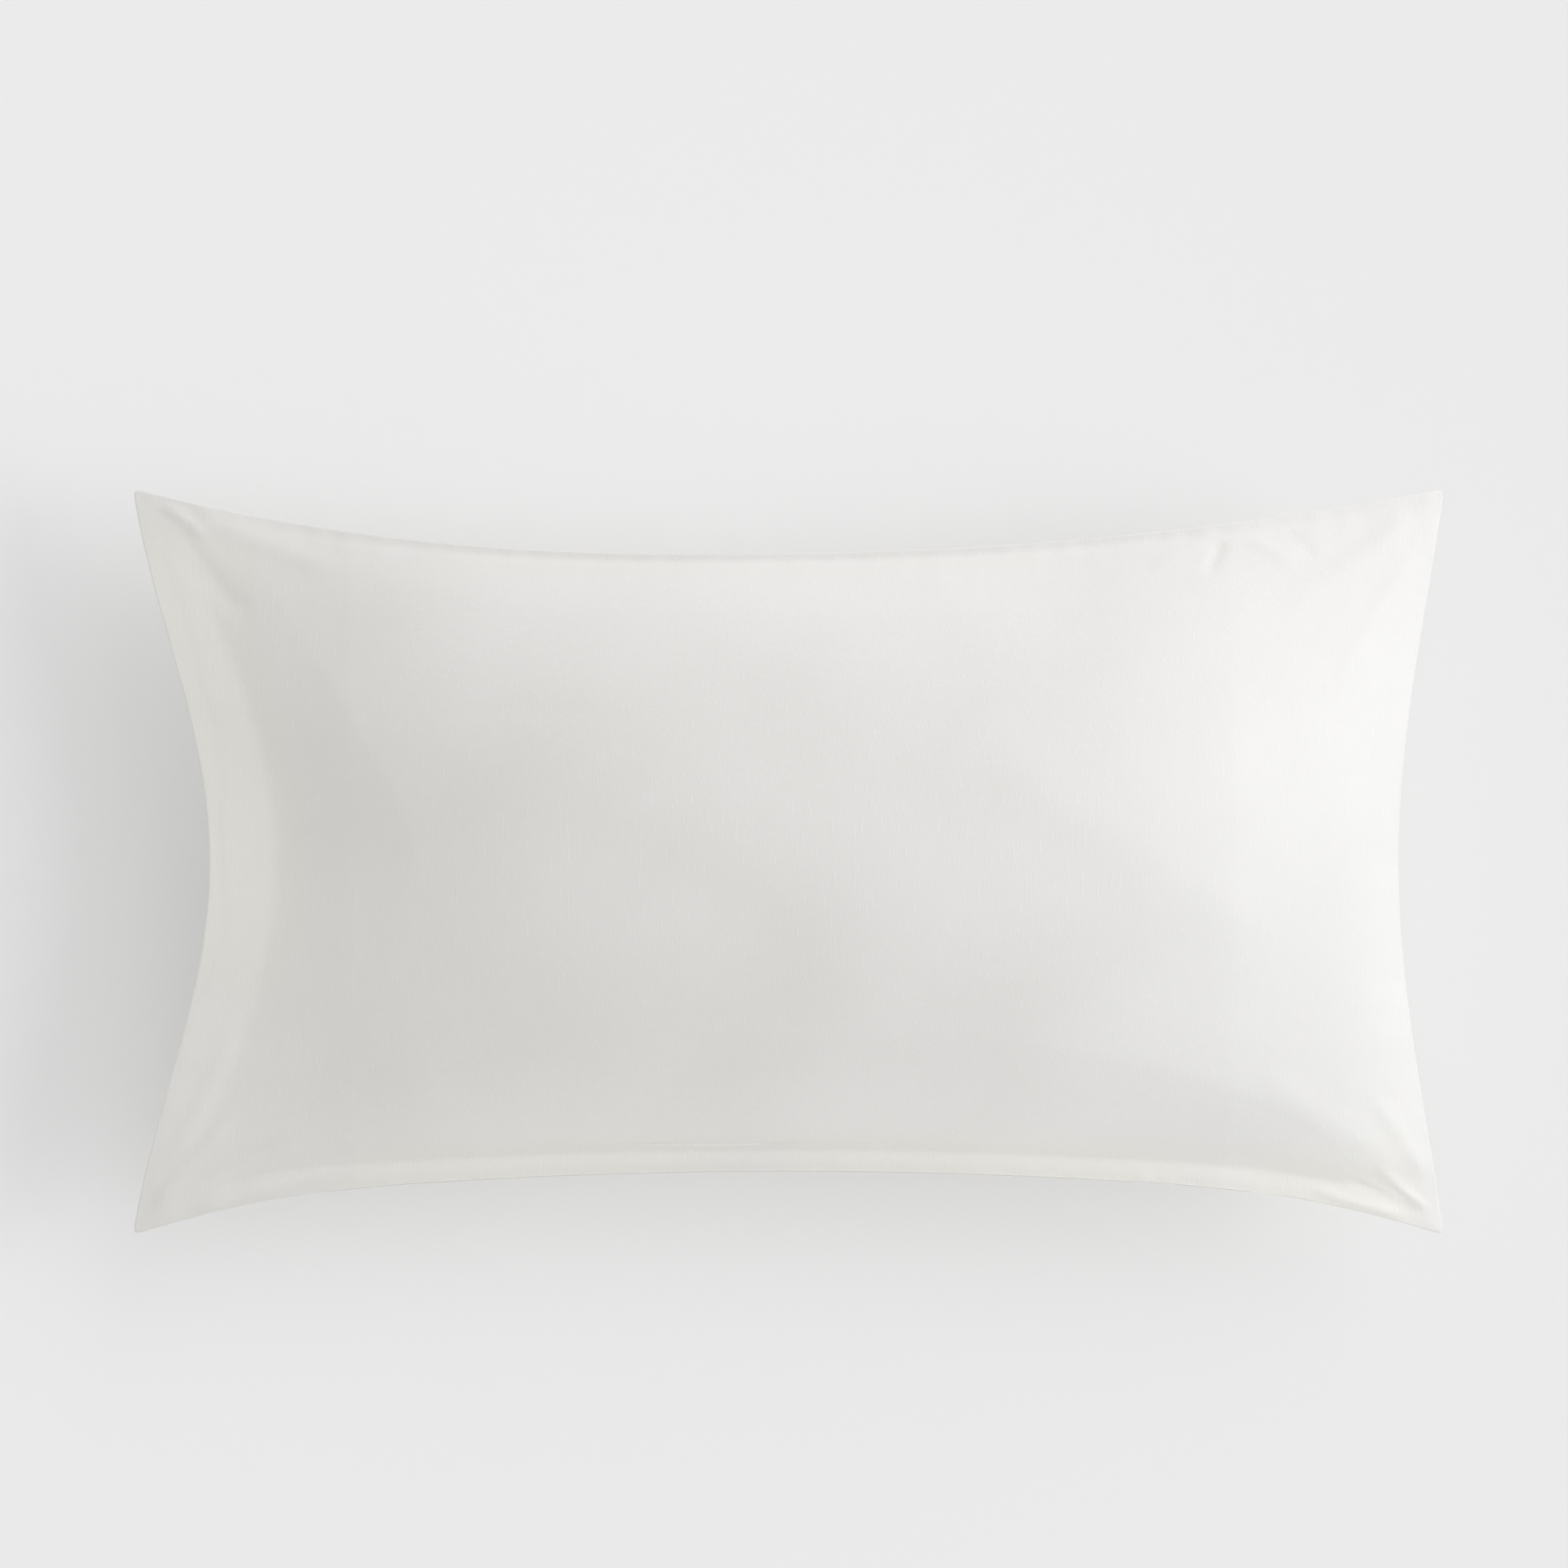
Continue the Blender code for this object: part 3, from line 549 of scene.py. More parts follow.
def panel_lines():
    """The finished panels' grid lines, close together where the seams fold."""
    fine = np.array([0, .15, .5, 1.2, 2.2, 3.4, 5.5, 8.0, 10.8, 11.5, 12.2, 14.0]) * MM
    wide = np.array([0, .15, .5, 1.2, 2.2, 3.4, 5.5, 8.0, 11, 14, 17, 19, 20, 20.7, 21.4, 22.2, 23,
                     23.7, 24.4, 25.1, 27]) * MM
    middle_u = np.arange(fine[-1] + CELL, FLAT_LENGTH - fine[-1] - CELL / 2, CELL)
    middle_v = np.arange(wide[-1] + CELL, FLAT_WIDTH - fine[-1] - CELL / 2, CELL)
    along = np.concatenate([fine, middle_u, FLAT_LENGTH - fine[::-1]])
    across = np.concatenate([wide, middle_v, FLAT_WIDTH - fine[::-1]])
    return 2 * along / FLAT_LENGTH - 1, 2 * across / FLAT_WIDTH - 1


def seam_distances(us, vs):
    """u, v and the distances to the ends, the zip's side and the plain side, over a grid."""
    u, v = np.meshgrid(us, vs)
    ends = (1 - np.abs(u)) * FLAT_LENGTH / 2
    return u, v, ends, (1 + v) * FLAT_WIDTH / 2, (1 - v) * FLAT_WIDTH / 2


def panel_surface(form, up, us, vs):
    """The outside of one finished panel, with its seams' thickness, puckers and creases."""
    surface = sampled(form, us, vs)
    u, v, ends, zip_side, plain_side = seam_distances(us, vs)
    x, y = surface[..., 0], surface[..., 1]
    nearest = np.minimum(np.minimum(ends, zip_side), plain_side)
    rise = np.maximum(0, (surface[..., 2] - SEAM_Z) * up)
    layers = lip_height(x, ends, zip_side, plain_side)
    rise += layers
    rise += puckers(x, y, ends, zip_side, plain_side, up) * smooth(nearest / PUCKER_START)
    rise += LUMP_HEIGHT * unevenness(x, y, 8 + up, LUMP_SIZE) * smooth(nearest / LUMP_START)
    creases = FRONT_CREASES if up > 0 else BACK_CREASES
    rise += CREASE_DEPTH * sum(crease(x, y, *line) for line in creases) * smooth(
        nearest / CREASE_START)
    if up > 0:
        rise += sum(crease(x, y, *line) for line in (SLIT, SLIT_LIP, SLIT_RIDGE))
        rise += tucks(x, zip_side)
    rise = np.maximum(rise, layers - LIP_GIVE)
    z = SEAM_Z + up * rise - droop(x, y)
    if up < 0:
        z = rested(z)
    return np.stack([x, y, z], axis=-1)


def rested(z):
    """Presses the back onto the surface below it, with a soft edge to the flat patch."""
    soft = 6 * MM
    pressed = soft * np.exp(np.minimum(0, z - soft) / soft) - soft / 4
    return np.where(z < soft, np.maximum(0, pressed), z)


def puckers(x, y, ends, zip_side, plain_side, up):
    """Small gathers that run out from the seams."""
    seed = 20 + up
    along_sides = waves(x, seed, 0.030) * np.exp(-plain_side / 0.014)
    along_zip = waves(x, seed + 1, 0.036) * np.exp(-zip_side / 0.020) * (1 - 0.6 * at_zip(x))
    along_ends = waves(y + 0.3 * np.sign(x), seed + 2, 0.034) * np.exp(-ends / 0.022)
    return PUCKER_HEIGHT * (along_sides + along_zip + along_ends)


def tucks(x, zip_side):
    total = np.zeros_like(x)
    for place, width, height in TUCKS:
        beside = np.abs(x - place - TUCK_LEAN * zip_side)
        wedge = np.maximum(0, 1 - beside / (width + zip_side * TUCK_SPREAD))
        fade = smooth((TUCK_REACH - zip_side) / TUCK_REACH)
        total += height * wedge * fade * smooth(zip_side / TUCK_START)
    return total


LEVEL_END, LEVEL_FADE = 0.4, 0.3  # in v from the zip, where the ends leave the zip's level
BARE_ONSET, TINT_REACH = 6, 40 * MM  # of the painted warm light on the bare rims, a tint that stands in for light coming through doubled cloth


def turned_in(us, vs, up):
    """Rings of the seam allowance, folded in behind the panel's edge."""
    u, v, *_ = seam_distances(us, vs)
    loop = rim_loop(len(vs), len(us))
    u, v = u.ravel()[loop], v.ravel()[loop]
    rings = []
    for (end, end_h), (wide, _), (deep, deep_h) in zip(PLAIN_TURN, WIDE_TURN, ZIP_TURN):
        x, _ = plan(u, v)
        share = at_zip(x)
        zip_margin = (wide * (1 - share) + deep * share) * MM
        x, y = plan(u, v, end * MM, end * MM, zip_margin)
        lifted = share * smooth((LEVEL_END - (v + 1)) / LEVEL_FADE) * (v < 0)
        height = end_h * (1 - lifted) + deep_h * lifted
        z = SEAM_Z + up * height * MM - droop(x, y)
        rings.append(np.stack([x, y, z], axis=-1))
    return rings


def panel_object(name, form, up, material):
    """A finished panel of the cover, with a point attribute that masks its painted warm light on
    the bare rims.
    """
    us, vs = panel_lines()
    surface = panel_surface(form, up, us, vs)
    verts = [surface.reshape(-1, 3)]
    faces = [grid_faces(len(vs), len(us))]
    last, count = rim_loop(len(vs), len(us)), surface.size // 3
    for ring in turned_in(us, vs, up):
        here = count + np.arange(len(ring))
        verts.append(ring)
        faces.append(strip_faces(last, here))
        last, count = here, count + len(ring)
    faces = np.concatenate(faces)
    if up < 0:
        faces = faces[:, ::-1]
    panel = new_object(name, np.concatenate(verts), faces, material)
    # Mask of the painted warm light: a tint on the bare rims that stands in for light coming
    # through doubled cloth
    layered = np.zeros(count)
    bare = 1 - smooth(BARE_ONSET * swell(surface[..., 0], surface[..., 1]))
    u, _, _, _, plain_side = seam_distances(us, vs)
    narrow = np.minimum(plain_side, (1 - u) * FLAT_LENGTH / 2)
    layered[:bare.size] = (bare * smooth(narrow / TINT_REACH)).ravel()
    panel.data.attributes.new("layered", "FLOAT", "POINT").data.foreach_set("value", layered)
    return thicken(panel, COVER_CLOTH)


# ---------------------------------------------------------------- the insert and its filling

INNER_ONSET = 2.2  # how soon a surface inside the cover reaches its full depth, past the rims
INNER_SINK = 3.5 * MM  # how far it sinks towards the seam's level on the rims
TICKING_CELL, TICKING_DEPTH, TICKING_LIP = 5 * MM, 4 * MM, 1.05 * MM
TICKING_WAVE = 0.6 * MM
FIBRE_MARGINS, FIBRE_CELL = (0.030, 0.030, 0.044), 7 * MM
FIBRE_DEPTH, FIBRE_LIP, FIBRE_LUMPS, FIBRE_LUMP_SIZE = 9 * MM, 0.3 * MM, 2.4 * MM, 0.045


def inner_surface(form, up, us, vs, depth, lip, lumps=0.0, seed=1):
    """A surface that far inside the cover's, closing to a lip's half thickness at its edge."""
    surface = sampled(form, us, vs)
    du, dv = np.gradient(surface, axis=1), np.gradient(surface, axis=0)
    normal = np.cross(du, dv)
    normal /= np.maximum(np.linalg.norm(normal, axis=-1, keepdims=True), 1e-12)
    x, y = surface[..., 0], surface[..., 1]
    full = smooth(swell(x, y) * INNER_ONSET)
    inwards = depth + lumps * (1 + unevenness(x, y, seed, FIBRE_LUMP_SIZE)) * full
    surface = surface - normal * up * inwards[..., None] * full[..., None]
    x, y = surface[..., 0], surface[..., 1]
    rise = (surface[..., 2] - SEAM_Z) * up - (1 - full) * INNER_SINK
    rise = np.maximum(lip, rise)
    z = SEAM_Z + up * rise - droop(x, y)
    if up < 0:
        z = np.maximum(depth, z)
    return np.stack([x, y, z], axis=-1)


def inner_lines(end_margin, plain_margin, zip_margin, cell):
    """An even grid's lines on a panel, inside margins measured on the flat cloth."""
    along = np.arange(end_margin, FLAT_LENGTH - end_margin + 1e-6, cell)
    across = np.arange(zip_margin, FLAT_WIDTH - plain_margin + 1e-6, cell)
    return 2 * along / FLAT_LENGTH - 1, 2 * across / FLAT_WIDTH - 1


def insert_panel(name, form, up, material):
    margin = ALLOWANCE + COVER_EASE
    us, vs = inner_lines(margin, margin, ZIP_ALLOWANCE + COVER_EASE, TICKING_CELL)
    surface = inner_surface(form, up, us, vs, TICKING_DEPTH, TICKING_LIP)
    x, y = surface[..., 0], surface[..., 1]
    waved = waves(0.7 * x + y, 40 + up, 0.05) * smooth(2 * swell(x, y))
    surface[..., 2] += up * TICKING_WAVE * waved
    faces = grid_faces(len(vs), len(us))
    if up < 0:
        faces = faces[:, ::-1]
    return thicken(new_object(name, surface.reshape(-1, 3), faces, material), TICKING_CLOTH)


def filling(front, back, material):
    """Lumpy fibre: one closed body that fills the insert."""
    us, vs = inner_lines(*FIBRE_MARGINS, FIBRE_CELL)
    top, low = (inner_surface(form, up, us, vs, FIBRE_DEPTH, FIBRE_LIP, FIBRE_LUMPS, seed)
                for form, up, seed in ((front, 1, 3), (back, -1, 4)))
    rows, columns = len(vs), len(us)
    count = rows * columns
    faces = grid_faces(rows, columns)
    loop = rim_loop(rows, columns)
    walls = strip_faces(loop, loop + count)
    verts = np.concatenate([top.reshape(-1, 3), low.reshape(-1, 3)])
    faces = np.concatenate([faces, faces[:, ::-1] + count, walls])
    return new_object("fibre", verts, faces, material)


# ---------------------------------------------------------------- threads, coils and labels

SEAM_DEPTH = 1.5 * MM  # of the stitches, inwards from the seam's edge
COVER_PITCH, INSERT_PITCH, CLOSING_PITCH, TAPE_PITCH = 2.6 * MM, 2.4 * MM, 3.4 * MM, 2.8 * MM
INSERT_ARCH = 0.06 * MM
CLOSING_LENGTH = 0.15  # of the insert's seam, sewn last
TAPE_STITCH_DEPTH = 13.2 * MM
COIL_PITCH, COIL_WIRE, COIL_DEPTH, COIL_END = 1.25 * MM, 0.26 * MM, 6.9 * MM, 1 * MM
COIL_STEPS = 10  # in each turn
LABEL_DEPTH, LABEL_LIP, LABEL_WAVE = 2.6 * MM, 1.6 * MM, 0.15 * MM


def outline_run(corners, margins, steps=60):
    """Points along straight runs between (u, v) corners, on an outline inside the cover's."""
    points = []
    for (u0, v0), (u1, v1) in zip(corners, corners[1:]):
        t = np.linspace(0, 1, steps)
        x, y = plan(u0 + (u1 - u0) * t, v0 + (v1 - v0) * t, *margins)
        points.append(np.stack([x, y, SEAM_Z - droop(x, y)], axis=-1))
    return np.concatenate(points)


def cover_seam(material):
    """The stitches round the cover, from where the zip's lips have closed at either end."""
    start = (ZIP_RAMP_START + LIPS_CLOSED * ZIP_RAMP) / HALF_LENGTH
    corners = [(start, -1), (1, -1), (1, 1), (-1, 1), (-1, -1), (-start, -1)]
    line = outline_run(corners, (SEAM_DEPTH,) * 3)
    obj = tubes_object("cover_seam_stitches", stitches(line, COVER_PITCH), STITCH_RADIUS, material)
    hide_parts("cover_seam_thread")
    return obj


def insert_seams(material):
    """The insert's seam, and the gap in it through which it was filled."""
    edge = ALLOWANCE + COVER_EASE + SEAM_DEPTH
    margins = (edge, edge, edge - ALLOWANCE + ZIP_ALLOWANCE)
    gap = CLOSING_LENGTH / (2 * HALF_WIDTH)
    within = gap * 0.97
    round_it = [(-1, -gap), (-1, -1), (1, -1), (1, 1), (-1, 1), (-1, gap)]
    for name, node, corners, pitch in (
            ("insert_seam_stitches", "insert_seam_thread", round_it, INSERT_PITCH),
            ("insert_closing_stitches", "insert_closing_thread", [(-1, -within), (-1, within)],
             CLOSING_PITCH)):
        runs = stitches(outline_run(corners, margins), pitch, INSERT_ARCH)
        obj = tubes_object(name, runs, STITCH_RADIUS, material)
        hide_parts(node)


def coil(side, up, material):
    """One side of the zip: a nylon wire wound into a flattened spiral."""
    turns = int(2 * COIL_REACH / COIL_PITCH)
    angle = np.arange(turns * COIL_STEPS + 1) * 2 * np.pi / COIL_STEPS
    along = np.linspace(-COIL_REACH + COIL_END, COIL_REACH - COIL_END, len(angle))
    low, high = sorted(abs(c.z - SEAM_Z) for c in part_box(f"zip_coil_{side}"))
    middle, radius = (low + high) / 2, (high - low) / 2 - COIL_WIRE
    height = up * (middle + radius * np.sin(angle))
    points = arc_point(along, COIL_DEPTH + radius * np.cos(angle), height)
    obj = tubes_object(f"zip_coil_wire_{side}", [points], COIL_WIRE, material, sides=5)
    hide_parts(f"zip_coil_{side}")
    return obj


def zip_stitches(side, up, material):
    """The line of stitches that sews a tape to its lip."""
    low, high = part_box(f"zip_stitching_{side}")
    height = up * abs((low.z + high.z) / 2 - SEAM_Z)
    line = arc_point(np.linspace(low.x, high.x, 300), TAPE_STITCH_DEPTH, height)
    runs = stitches(line, TAPE_PITCH)
    obj = tubes_object(f"zip_stitches_{side}", runs, ZIP_STITCH_RADIUS, material)
    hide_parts(f"zip_stitching_{side}")
    return obj


def label(name, node, form, up, material):
    """A blank woven label where its CAD node is, lying between the cover and the insert."""
    low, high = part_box(node)
    x, y = (low.x + high.x) / 2, (low.y + high.y) / 2
    reach_x = HALF_LENGTH - (right_inset(y) if x > 0 else left_inset(y))
    reach_y = HALF_WIDTH - (zip_side_inset(x) if y < 0 else plain_side_inset(x))
    us, vs = np.linspace(low.x, high.x, 37) / reach_x, np.linspace(low.y, high.y, 29) / reach_y
    surface = inner_surface(form, up, us, vs, LABEL_DEPTH, LABEL_LIP)
    surface[..., 2] += LABEL_WAVE * waves(surface[..., 0] + 0.4 * surface[..., 1], 9, 0.03)
    faces = grid_faces(len(vs), len(us))
    if up < 0:
        faces = faces[:, ::-1]
    piece = thicken(new_object(name, surface.reshape(-1, 3), faces, material), LABEL_CLOTH)
    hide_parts(node)
    return piece


# ---------------------------------------------------------------- materials

FLOOR_COLOUR = (0.87, 0.87, 0.87)
FLOOR_GRAIN = 1.004  # times that colour, at the grain's lightest
CLOTH_DARK, CLOTH_LIGHT = (0.745, 0.732, 0.702), (0.785, 0.772, 0.745)
TICKING_DARK, TICKING_LIGHT = (0.80, 0.80, 0.79), (0.86, 0.86, 0.85)
# Colour of the painted warm light on the cover's bare rims, which stands in for light coming
# through doubled cloth
PAINTED_WARM_LIGHT = (1.0, 0.998, 0.962)
COVER_WEAVE, TICKING_WEAVE = 0.45 * MM, 0.35 * MM
WEAVE_SCALE = 3.1416 / 6.283  # with this, a thread comes out at about 0.63 of the weave's size


class Nodes:
    """A material's node tree, with short calls for the nodes used here."""

    def __init__(self, name):
        self.material = bpy.data.materials.new(name)
        self.material.use_nodes = True
        self.tree = self.material.node_tree
        self.shader = self.tree.nodes["Principled BSDF"]
        self.place = self.add("ShaderNodeTexCoord").outputs["Object"]

    def add(self, kind, **inputs):
        node = self.tree.nodes.new(kind)
        for key, value in inputs.items():
            self.set(node.inputs[key.replace("_", " ")], value)
        return node

    def set(self, socket, value):
        if isinstance(value, bpy.types.NodeSocket):
            self.tree.links.new(value, socket)
        else:
            socket.default_value = value

    def math(self, operation, a, b):
        node = self.add("ShaderNodeMath")
        node.operation = operation
        self.set(node.inputs[0], a)
        self.set(node.inputs[1], b)
        return node.outputs[0]

    def blend(self, a, a_share, b, b_share):
        a, b = self.math("MULTIPLY", a, a_share), self.math("MULTIPLY", b, b_share)
        return self.math("ADD", a, b)

    def stretched(self, scale):
        return self.add("ShaderNodeMapping", Vector=self.place, Scale=scale).outputs[0]

    def noise(self, scale, stretch=(1, 1, 1), detail=3.0, roughness=0.5):
        node = self.add("ShaderNodeTexNoise", Vector=self.stretched(stretch), Scale=scale,
                        Detail=detail, Roughness=roughness)
        return node.outputs["Fac"]

    def painted_warm_light_tint(self, colour, tint):
        """The colour, with painted warm light, a tint that stands in for light through doubled
        cloth, in patches where the mask attribute is above 0.
        """
        layered = self.add("ShaderNodeAttribute")
        layered.attribute_name = "layered"
        patches = self.add("ShaderNodeMapRange", Value=self.noise(7, detail=1.0),
                           From_Min=0.36, From_Max=0.58)
        share = self.math("MULTIPLY", layered.outputs["Fac"], patches.outputs["Result"])
        mix = self.add("ShaderNodeMixRGB", Fac=share, Color1=colour, Color2=(*tint, 1))
        mix.blend_type = "MULTIPLY"
        return mix.outputs["Color"]

    def dashes(self, scale, stretch):
        """Sparse short streaks, 0 between them and up to 1 on them."""
        node = self.add("ShaderNodeMapRange", Value=self.noise(scale, stretch, 2.0),
                        From_Min=0.56, From_Max=0.76)
        return node.outputs["Result"]

    def wave(self, scale, axis, distortion):
        node = self.add("ShaderNodeTexWave", Vector=self.place, Scale=scale, Distortion=distortion)
        node.bands_direction = axis
        return node.outputs["Fac"]

    def ramp(self, factor, low, high, start=0.0, end=1.0):
        node = self.add("ShaderNodeValToRGB", Fac=factor)
        node.color_ramp.elements[0].position, node.color_ramp.elements[1].position = start, end
        node.color_ramp.elements[0].color = (*low, 1)
        node.color_ramp.elements[1].color = (*high, 1)
        return node.outputs["Color"]

    def bump(self, height, strength, distance, below=None):
        node = self.add("ShaderNodeBump", Height=height, Strength=strength, Distance=distance)
        if below is not None:
            self.set(node.inputs["Normal"], below)
        return node.outputs["Normal"]

    def finish(self, **sockets):
        for key, value in sockets.items():
            self.set(self.shader.inputs[key.replace("_", " ")], value)
        return self.material


def cloth_material(name, dark, light, weave_size, slub=0.38, sheen=0.25):
    """Plain weave: crossed threads, thicker slubs along Y, a slow drift of tone, painted warm light
    on the bare rims, and sheen.
    """
    nodes = Nodes(name)
    warp, weft = (nodes.wave(WEAVE_SCALE / weave_size, axis, 0.6) for axis in "XY")
    weave = nodes.math("MAXIMUM", warp, weft)
    slubs = nodes.dashes(620, (1, 0.10, 1))
    cross_slubs = nodes.dashes(520, (0.12, 1, 1))
    drift = nodes.noise(7, detail=4.0)
    yarn = nodes.blend(slubs, 0.22, drift, 0.95)
    # Painted warm light: the bare rims tinted warmer, standing in for light coming through doubled
    # cloth
    colour = nodes.painted_warm_light_tint(nodes.ramp(yarn, dark, light, 0.30, 0.70), PAINTED_WARM_LIGHT)
    rough = nodes.math("ADD", nodes.math("MULTIPLY", weave, 0.08), 0.80)
    normal = nodes.bump(weave, 0.35, 0.12 * MM)
    normal = nodes.bump(slubs, slub, 0.30 * MM, normal)
    normal = nodes.bump(cross_slubs, slub * 0.4, 0.20 * MM, normal)
    return nodes.finish(Base_Color=colour, Roughness=rough, Normal=normal, Sheen_Weight=sheen,
                        Sheen_Roughness=0.5, Specular_IOR_Level=0.25)


def tape_material():
    nodes = Nodes("zip_tape_weave")
    ribs = nodes.wave(700, "X", 0.3)
    herring = nodes.wave(500, "DIAGONAL", 1.0)
    both = nodes.blend(ribs, 0.6, herring, 0.4)
    colour = nodes.ramp(both, (0.66, 0.65, 0.61), (0.80, 0.79, 0.75), 0.2, 0.8)
    return nodes.finish(Base_Color=colour, Roughness=0.75, Normal=nodes.bump(both, 0.6, 0.15 * MM),
                        Sheen_Weight=0.2)


def nylon_material():
    nodes = Nodes("zip_coil_nylon")
    fine = nodes.noise(2500, detail=2.0)
    colour = nodes.ramp(fine, (0.74, 0.73, 0.69), (0.84, 0.83, 0.79))
    rough = nodes.ramp(fine, (0.30,) * 3, (0.45,) * 3)
    return nodes.finish(Base_Color=colour, Roughness=rough, Normal=nodes.bump(fine, 0.2, 0.05 * MM),
                        Subsurface_Weight=0.05)


def thread_material():
    nodes = Nodes("twisted_thread")
    twist = nodes.wave(1600, "DIAGONAL", 0.4)
    colour = nodes.ramp(twist, (0.70, 0.69, 0.66), (0.84, 0.83, 0.80))
    return nodes.finish(Base_Color=colour, Roughness=0.55, Normal=nodes.bump(twist, 0.7, 0.12 * MM),
                        Sheen_Weight=0.3)


def metal_material():
    """Cast zinc, brushed along the slider and worn a little on its edges."""
    nodes = Nodes("brushed_zinc")
    brushed = nodes.noise(3000, (0.06, 1, 1))
    smudges = nodes.noise(300)
    colour = nodes.ramp(smudges, (0.50, 0.50, 0.49), (0.68, 0.68, 0.67), 0.3, 0.7)
    rough = nodes.ramp(brushed, (0.24,) * 3, (0.42,) * 3)
    return nodes.finish(Base_Color=colour, Metallic=1.0, Roughness=rough,
                        Normal=nodes.bump(brushed, 0.25, 0.05 * MM))


def label_material():
    nodes = Nodes("satin_label")
    floats = nodes.wave(900, "Y", 0.2)
    soft = nodes.noise(60)
    colour = nodes.ramp(soft, (0.80, 0.80, 0.79), (0.88, 0.88, 0.87), 0.3, 0.7)
    return nodes.finish(Base_Color=colour, Roughness=0.38, Sheen_Weight=0.15, Anisotropic=0.4,
                        Normal=nodes.bump(floats, 0.4, 0.06 * MM))


def fibre_material():
    nodes = Nodes("polyester_fibre")
    tangle = nodes.noise(260, detail=6.0, roughness=0.75)
    strands = nodes.noise(1400, (0.15, 1, 1), 4.0, 0.6)
    colour = nodes.ramp(tangle, (0.78, 0.78, 0.78), (0.93, 0.93, 0.93), 0.3, 0.7)
    normal = nodes.bump(strands, 0.6, 0.8 * MM, nodes.bump(tangle, 0.9, 3.0 * MM))
    return nodes.finish(Base_Color=colour, Roughness=0.95, Normal=normal, Sheen_Weight=0.6)


def floor_material():
    nodes = Nodes("pale_floor")
    grain = nodes.noise(40)
    colour = nodes.ramp(grain, FLOOR_COLOUR, tuple(c * FLOOR_GRAIN for c in FLOOR_COLOUR))
    return nodes.finish(Base_Color=colour, Roughness=1.0, Specular_IOR_Level=0.0)


# ---------------------------------------------------------------- light, floor and camera

FLOOR_REACH = 30.0
FLOOR_DROP = 0.3 * MM  # of the floor below the pillow, so that they don't touch
FAR_WALL = (0.83, 0.83, 0.83)  # what the camera sees past the floor's end
SKY_STRENGTH, SKY_COLOUR = 0.519, (0.996, 1.0, 0.99)
# The photograph's light comes from the right and falls off to the left, with a wide soft shadow on
# the floor. It isn't one real lighting: it was fitted to the photograph, and some suns cast no
# shadow. Suns: azimuth, elevation, spread (degrees), strength, colour, what they light, shadows
SUNS = {
    "window_on_pillow": (0, 30, 50, 0.14, (0.80, 1.0, 1.0), "pillow", True),
    "wall_on_pillow": (90, 30, 50, 1.18, (1.01, 1.0, 1.04), "pillow", False),
    "room_on_pillow": (270, 30, 50, 0.76, (1.01, 1.0, 1.02), "pillow", False),
    "window_on_floor": (0, 21, 40, 1.48, (1.01, 1.0, 1.03), "floor", True),
    "corner_on_floor": (50, 30, 50, 0.46, (1.01, 1.0, 1.04), "floor", True),
    "ceiling_on_floor": (0, 90, 60, 0.60, (1.0, 1.0, 1.0), "floor", False),
}
# Soft boxes beside the pillow: place, size, power, colour
BOXES = {
    "box_right": ((1.05, 0.50, 0.60), 0.9, 4.50, (0.99, 1.0, 1.06)),
    "box_front": ((0.70, -0.70, 0.60), 0.9, 1.58, (0.965, 1.0, 1.10)),
}
PHOTO_WIDTH = 1.0645  # of what the photograph shows at the seam's height
PHOTO_CENTRE = (-0.003, 0.053)
CAMERA_HEIGHT = 2.5


def add_light(name, kind, direction, energy, colour, receivers):
    """A light that shines from that direction towards the pillow, on those receivers alone."""
    data = bpy.data.lights.new(name, kind)
    data.energy, data.color = energy, colour
    obj = bpy.data.objects.new(name, data)
    obj.location = direction
    obj.rotation_mode = "QUATERNION"
    obj.rotation_quaternion = Vector(direction).to_track_quat("Z", "Y")
    obj.light_linking.receiver_collection = receivers
    bpy.context.scene.collection.objects.link(obj)
    return obj


def sun_direction(azimuth, elevation):
    azimuth, elevation = math.radians(azimuth), math.radians(elevation)
    return (math.cos(azimuth) * math.cos(elevation), math.sin(azimuth) * math.cos(elevation),
            math.sin(elevation))


def build_floor():
    signs = ((-1, -1), (1, -1), (1, 1), (-1, 1))
    corners = [(x * FLOOR_REACH, y * FLOOR_REACH, 0) for x, y in signs]
    floor = new_object("floor", corners, [(0, 1, 2, 3)], floor_material(), body=None)
    floor.location.z = -FLOOR_DROP
    return floor


def build_world():
    """A dim sky that lights the surfaces, and a paler wall that only the camera sees."""
    world = bpy.data.worlds.new("studio")
    world.use_nodes = True
    tree = world.node_tree
    sky = tree.nodes["Background"]
    sky.inputs["Color"].default_value = (*SKY_COLOUR, 1)
    sky.inputs["Strength"].default_value = SKY_STRENGTH
    wall, seen = tree.nodes.new("ShaderNodeBackground"), tree.nodes.new("ShaderNodeLightPath")
    wall.inputs["Color"].default_value = (*FAR_WALL, 1)
    either = tree.nodes.new("ShaderNodeMixShader")
    tree.links.new(seen.outputs["Is Camera Ray"], either.inputs[0])
    tree.links.new(sky.outputs[0], either.inputs[1])
    tree.links.new(wall.outputs[0], either.inputs[2])
    tree.links.new(either.outputs[0], tree.nodes["World Output"].inputs["Surface"])
    return world


def build_studio():
    scene = bpy.context.scene
    scene.view_settings.view_transform = "Standard"
    scene.world = build_world()
    lit = {name: bpy.data.collections.new(f"{name}_lit") for name in ("pillow", "floor")}
    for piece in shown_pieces():
        lit["pillow"].objects.link(piece)
    lit["floor"].objects.link(build_floor())
    for name, (azimuth, elevation, spread, strength, colour, target, shadows) in SUNS.items():
        direction = sun_direction(azimuth, elevation)
        sun = add_light(name, "SUN", direction, strength, colour, lit[target])
        sun.data.angle = math.radians(spread)
        sun.data.use_shadow = shadows
    for name, (place, size, power, colour) in BOXES.items():
        add_light(name, "AREA", place, power, colour, lit["pillow"]).data.size = size


